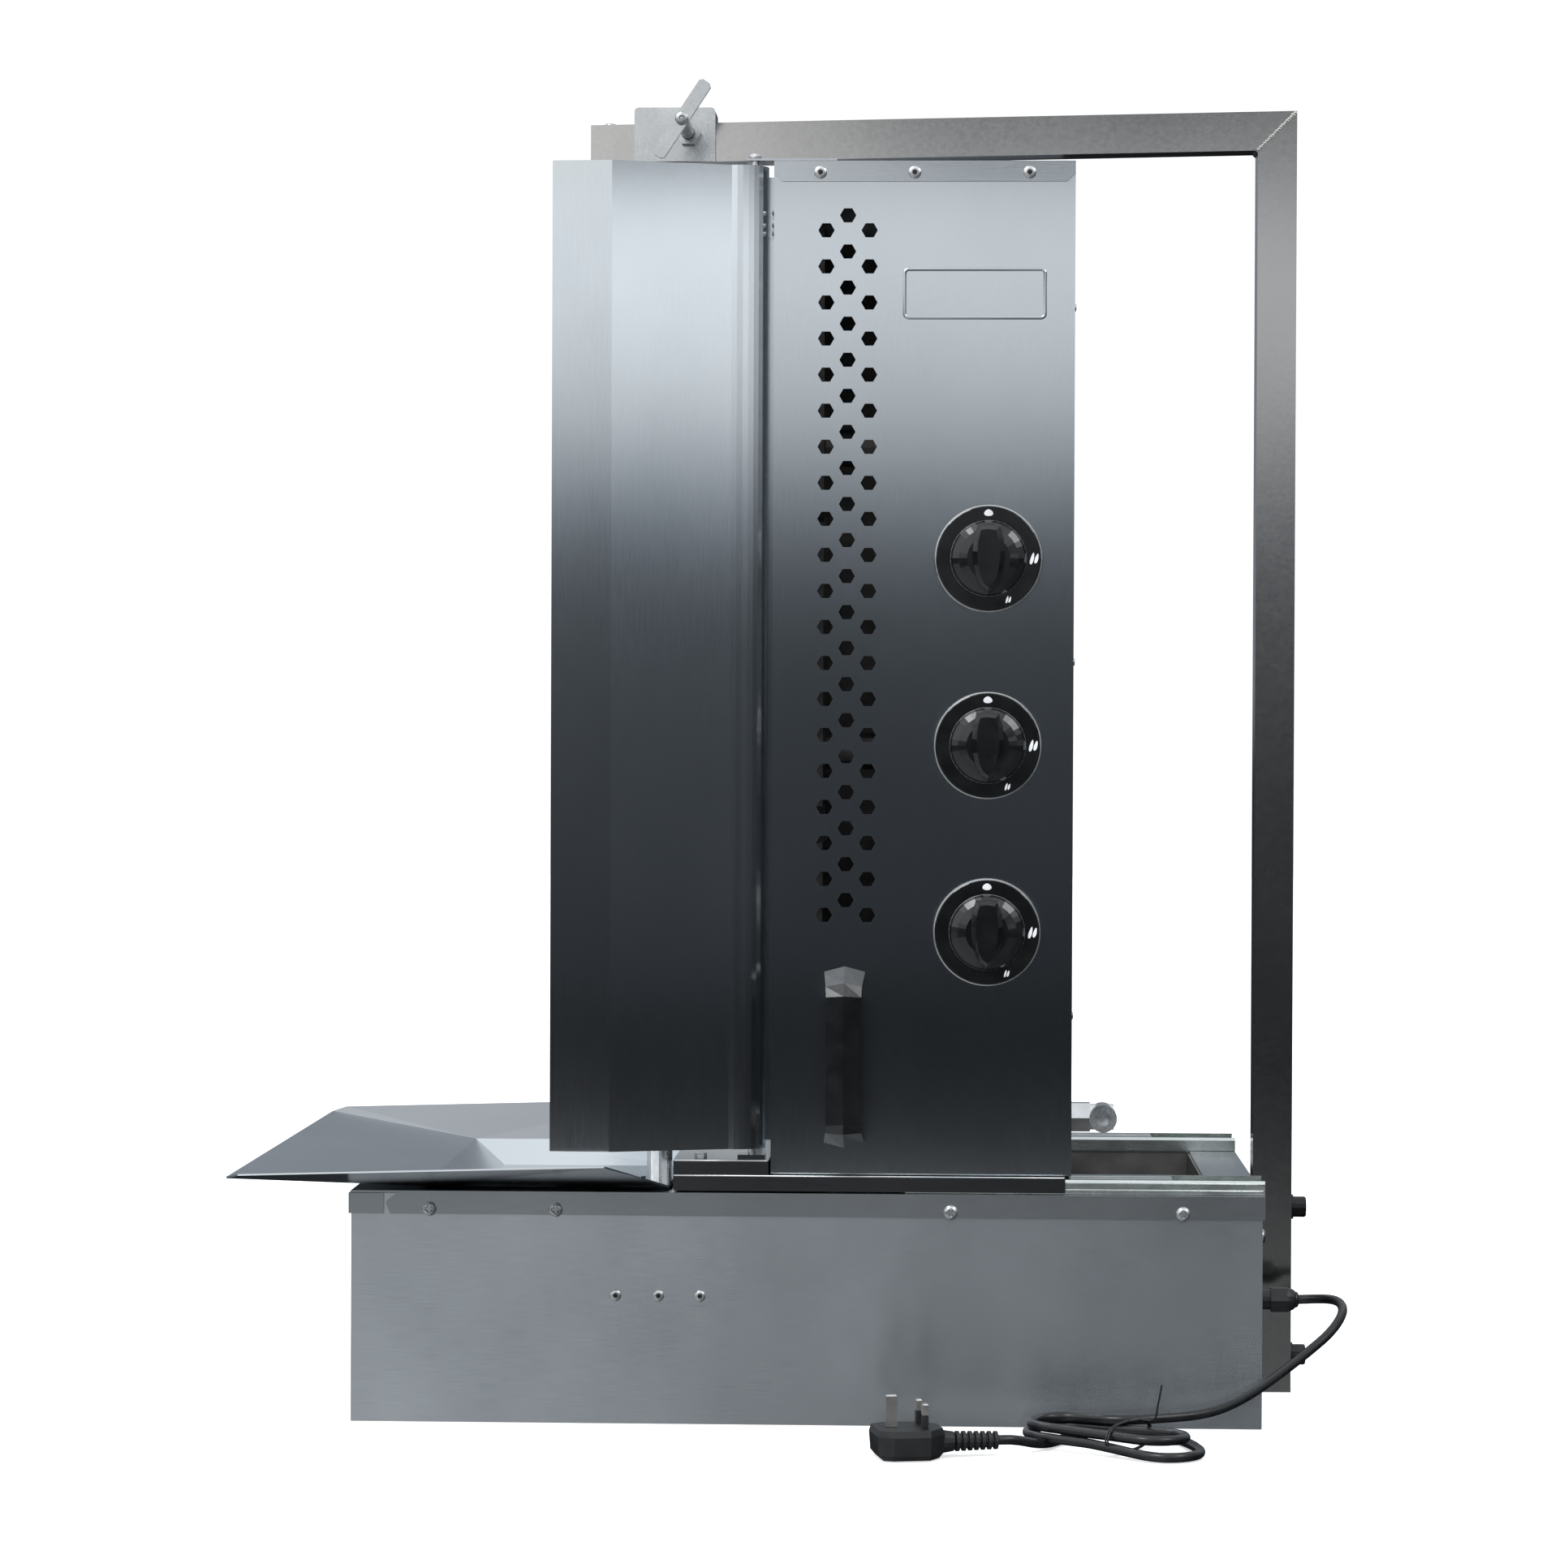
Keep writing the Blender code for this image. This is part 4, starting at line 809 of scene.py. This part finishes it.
def world():
    """A pale studio: white to the eye, graded in the reflections by height and side."""
    scene = bpy.context.scene
    studio = bpy.data.worlds.new("studio")
    scene.world = studio
    studio.use_nodes = True
    tree = studio.node_tree
    tree.nodes.clear()

    def add(kind, **inputs):
        node = tree.nodes.new(kind)
        for key, value in inputs.items():
            plug(node.inputs[key.replace("_", " ")], value)
        return node

    def plug(socket, value):
        if isinstance(value, bpy.types.NodeSocket):
            tree.links.new(value, socket)
        else:
            socket.default_value = value

    def calc(op, a, b=0.0, c=0.0):
        node = tree.nodes.new("ShaderNodeMath")
        node.operation = op
        for socket, value in zip(node.inputs, (a, b, c)):
            plug(socket, value)
        return node.outputs[0]

    def grey(value, stops, low, high):
        """A curve of brightness over value, which runs from low to high."""
        t = add("ShaderNodeMapRange", Value=value, From_Min=low, From_Max=high)
        node = add("ShaderNodeValToRGB", Fac=t.outputs["Result"])
        ramp = node.color_ramp
        while len(ramp.elements) < len(stops):
            ramp.elements.new(0.5)
        for element, (at, level) in zip(ramp.elements, stops):
            element.position = (at - low) / (high - low)
            cool = 1.0 if level < 0.3 else 0.3
            element.color = (level * (1 - 0.13 * cool), level * (1 - 0.03 * cool),
                             level * (1 + 0.10 * cool), 1)
        return node.outputs["Color"]

    def blend_colours(fac, a, b):
        node = tree.nodes.new("ShaderNodeMix")
        node.data_type = "RGBA"
        for socket, value in ((node.inputs["Factor"], fac), (node.inputs[6], a),
                              (node.inputs[7], b)):
            plug(socket, value)
        return node.outputs[2]

    split = add("ShaderNodeSeparateXYZ",
                Vector=add("ShaderNodeTexCoord").outputs["Generated"])
    x, y, z = (split.outputs[k] for k in "XYZ")
    flat = calc("SQRT", calc("ADD", calc("MULTIPLY", x, x), calc("MULTIPLY", y, y)))
    slope = calc("DIVIDE", z, calc("MAXIMUM", flat, 0.001))
    side = calc("DIVIDE", x, calc("MAXIMUM", flat, 0.001))
    low_part = grey(slope, [(-0.40, 0.42), (-0.118, 0.40), (-0.100, 0.014), (-0.066, 0.014),
                            (-0.050, 0.040), (-0.010, 0.050), (0.0, 0.055), (0.022, 0.062),
                            (0.033, 0.075), (0.043, 0.14), (0.054, 0.28), (0.065, 0.55),
                            (0.078, 0.76), (0.114, 1.08), (0.121, 1.08), (0.127, 0.11),
                            (0.26, 0.12), (0.30, 1.0)], -0.40, 0.30)
    high_part = grey(slope, [(0.30, 1.0), (1.2, 0.85), (4.0, 1.15)], 0.30, 4.0)
    above = add("ShaderNodeMapRange", Value=slope, From_Min=0.295, From_Max=0.305)
    front = blend_colours(above.outputs["Result"], low_part, high_part)
    # Left of the middle the bright wall goes on upwards, past the tops of the panels
    left = add("ShaderNodeMapRange", Value=side, From_Min=-0.052, From_Max=-0.008,
               To_Min=1.0, To_Max=0.0)
    band = calc("MULTIPLY", left.outputs["Result"],
                calc("MULTIPLY", calc("GREATER_THAN", slope, 0.121),
                     calc("LESS_THAN", slope, 0.30)))
    front = blend_colours(band, front, (0.95, 0.95, 0.95, 1.0))
    # The far side of the room is an even grey, dark below and a little brighter above
    rear = grey(slope, [(-0.6, 0.02), (-0.01, 0.025), (0.01, 0.19), (0.2, 0.27), (0.6, 0.55),
                        (1.5, 1.0)], -0.6, 1.5)
    facing = add("ShaderNodeMapRange", Value=y, From_Min=-0.25, From_Max=0.15)
    room = blend_colours(facing.outputs["Result"], front, rear)
    # Brighter out to the sides, most to the right, and darker low on the right
    lift = grey(side, [(-0.6, 0.65), (-0.17, 0.63), (-0.06, 0.5), (0.08, 0.5), (0.30, 0.66),
                       (0.57, 0.80), (0.75, 0.45), (1.0, 0.35)], -0.6, 1.0)
    shade = add("ShaderNodeMapRange", Value=side, From_Min=-0.13, From_Max=0.07,
                To_Min=1.05, To_Max=0.37)
    low = add("ShaderNodeMapRange", Value=slope, From_Min=-0.11, From_Max=-0.10,
              To_Min=1.0, To_Max=0.0)
    strength = calc("MULTIPLY", calc("MULTIPLY", lift, 2.0),
                    calc("ADD", 1.0, calc("MULTIPLY", low.outputs["Result"], calc(
                        "SUBTRACT", shade.outputs["Result"], 1.0))))
    glow = add("ShaderNodeBackground", Color=room, Strength=strength)
    white = add("ShaderNodeBackground", Color=(1, 1, 1, 1), Strength=1.05)
    eye = add("ShaderNodeLightPath").outputs["Is Camera Ray"]
    blend = add("ShaderNodeMixShader", Fac=eye)
    tree.links.new(glow.outputs[0], blend.inputs[1])
    tree.links.new(white.outputs[0], blend.inputs[2])
    tree.links.new(blend.outputs[0], add("ShaderNodeOutputWorld").inputs["Surface"])
    scene.view_settings.view_transform = "Standard"


def softbox(name, at, aim, size, power, glossy=True):
    data = bpy.data.lights.new(name, "AREA")
    data.shape, data.size, data.energy = "SQUARE", size, power
    lamp = bpy.data.objects.new(name, data)
    bpy.context.scene.collection.objects.link(lamp)
    lamp.location = at
    lamp.rotation_euler = (Vector(aim) - Vector(at)).to_track_quat("-Z", "Y").to_euler()
    lamp.visible_glossy = glossy


def lights():
    softbox("key", (-1.2, -1.9, 2.7), (0, 0, 0.4), 1.1, 32)
    softbox("fill", (1.9, -1.4, 2.2), (0, 0, 0.4), 1.0, 16)
    softbox("overhead", (0.0, 0.3, 3.2), (0, 0, 0), 2.0, 30, glossy=False)


def main():
    camera()
    looks = materials()
    dress_nodes(looks)
    mains_lead(looks)
    twist_tie(looks)
    fasteners(looks)
    dials(looks)
    burner_guards(looks)
    badge(looks)
    inner_shade_sheet(looks)
    hinge_details(looks)
    bright_edges(looks)
    clamp_rivet(looks)
    welds(looks)
    stage()
    world()
    lights()


main()
bpy.context.view_layer.update()
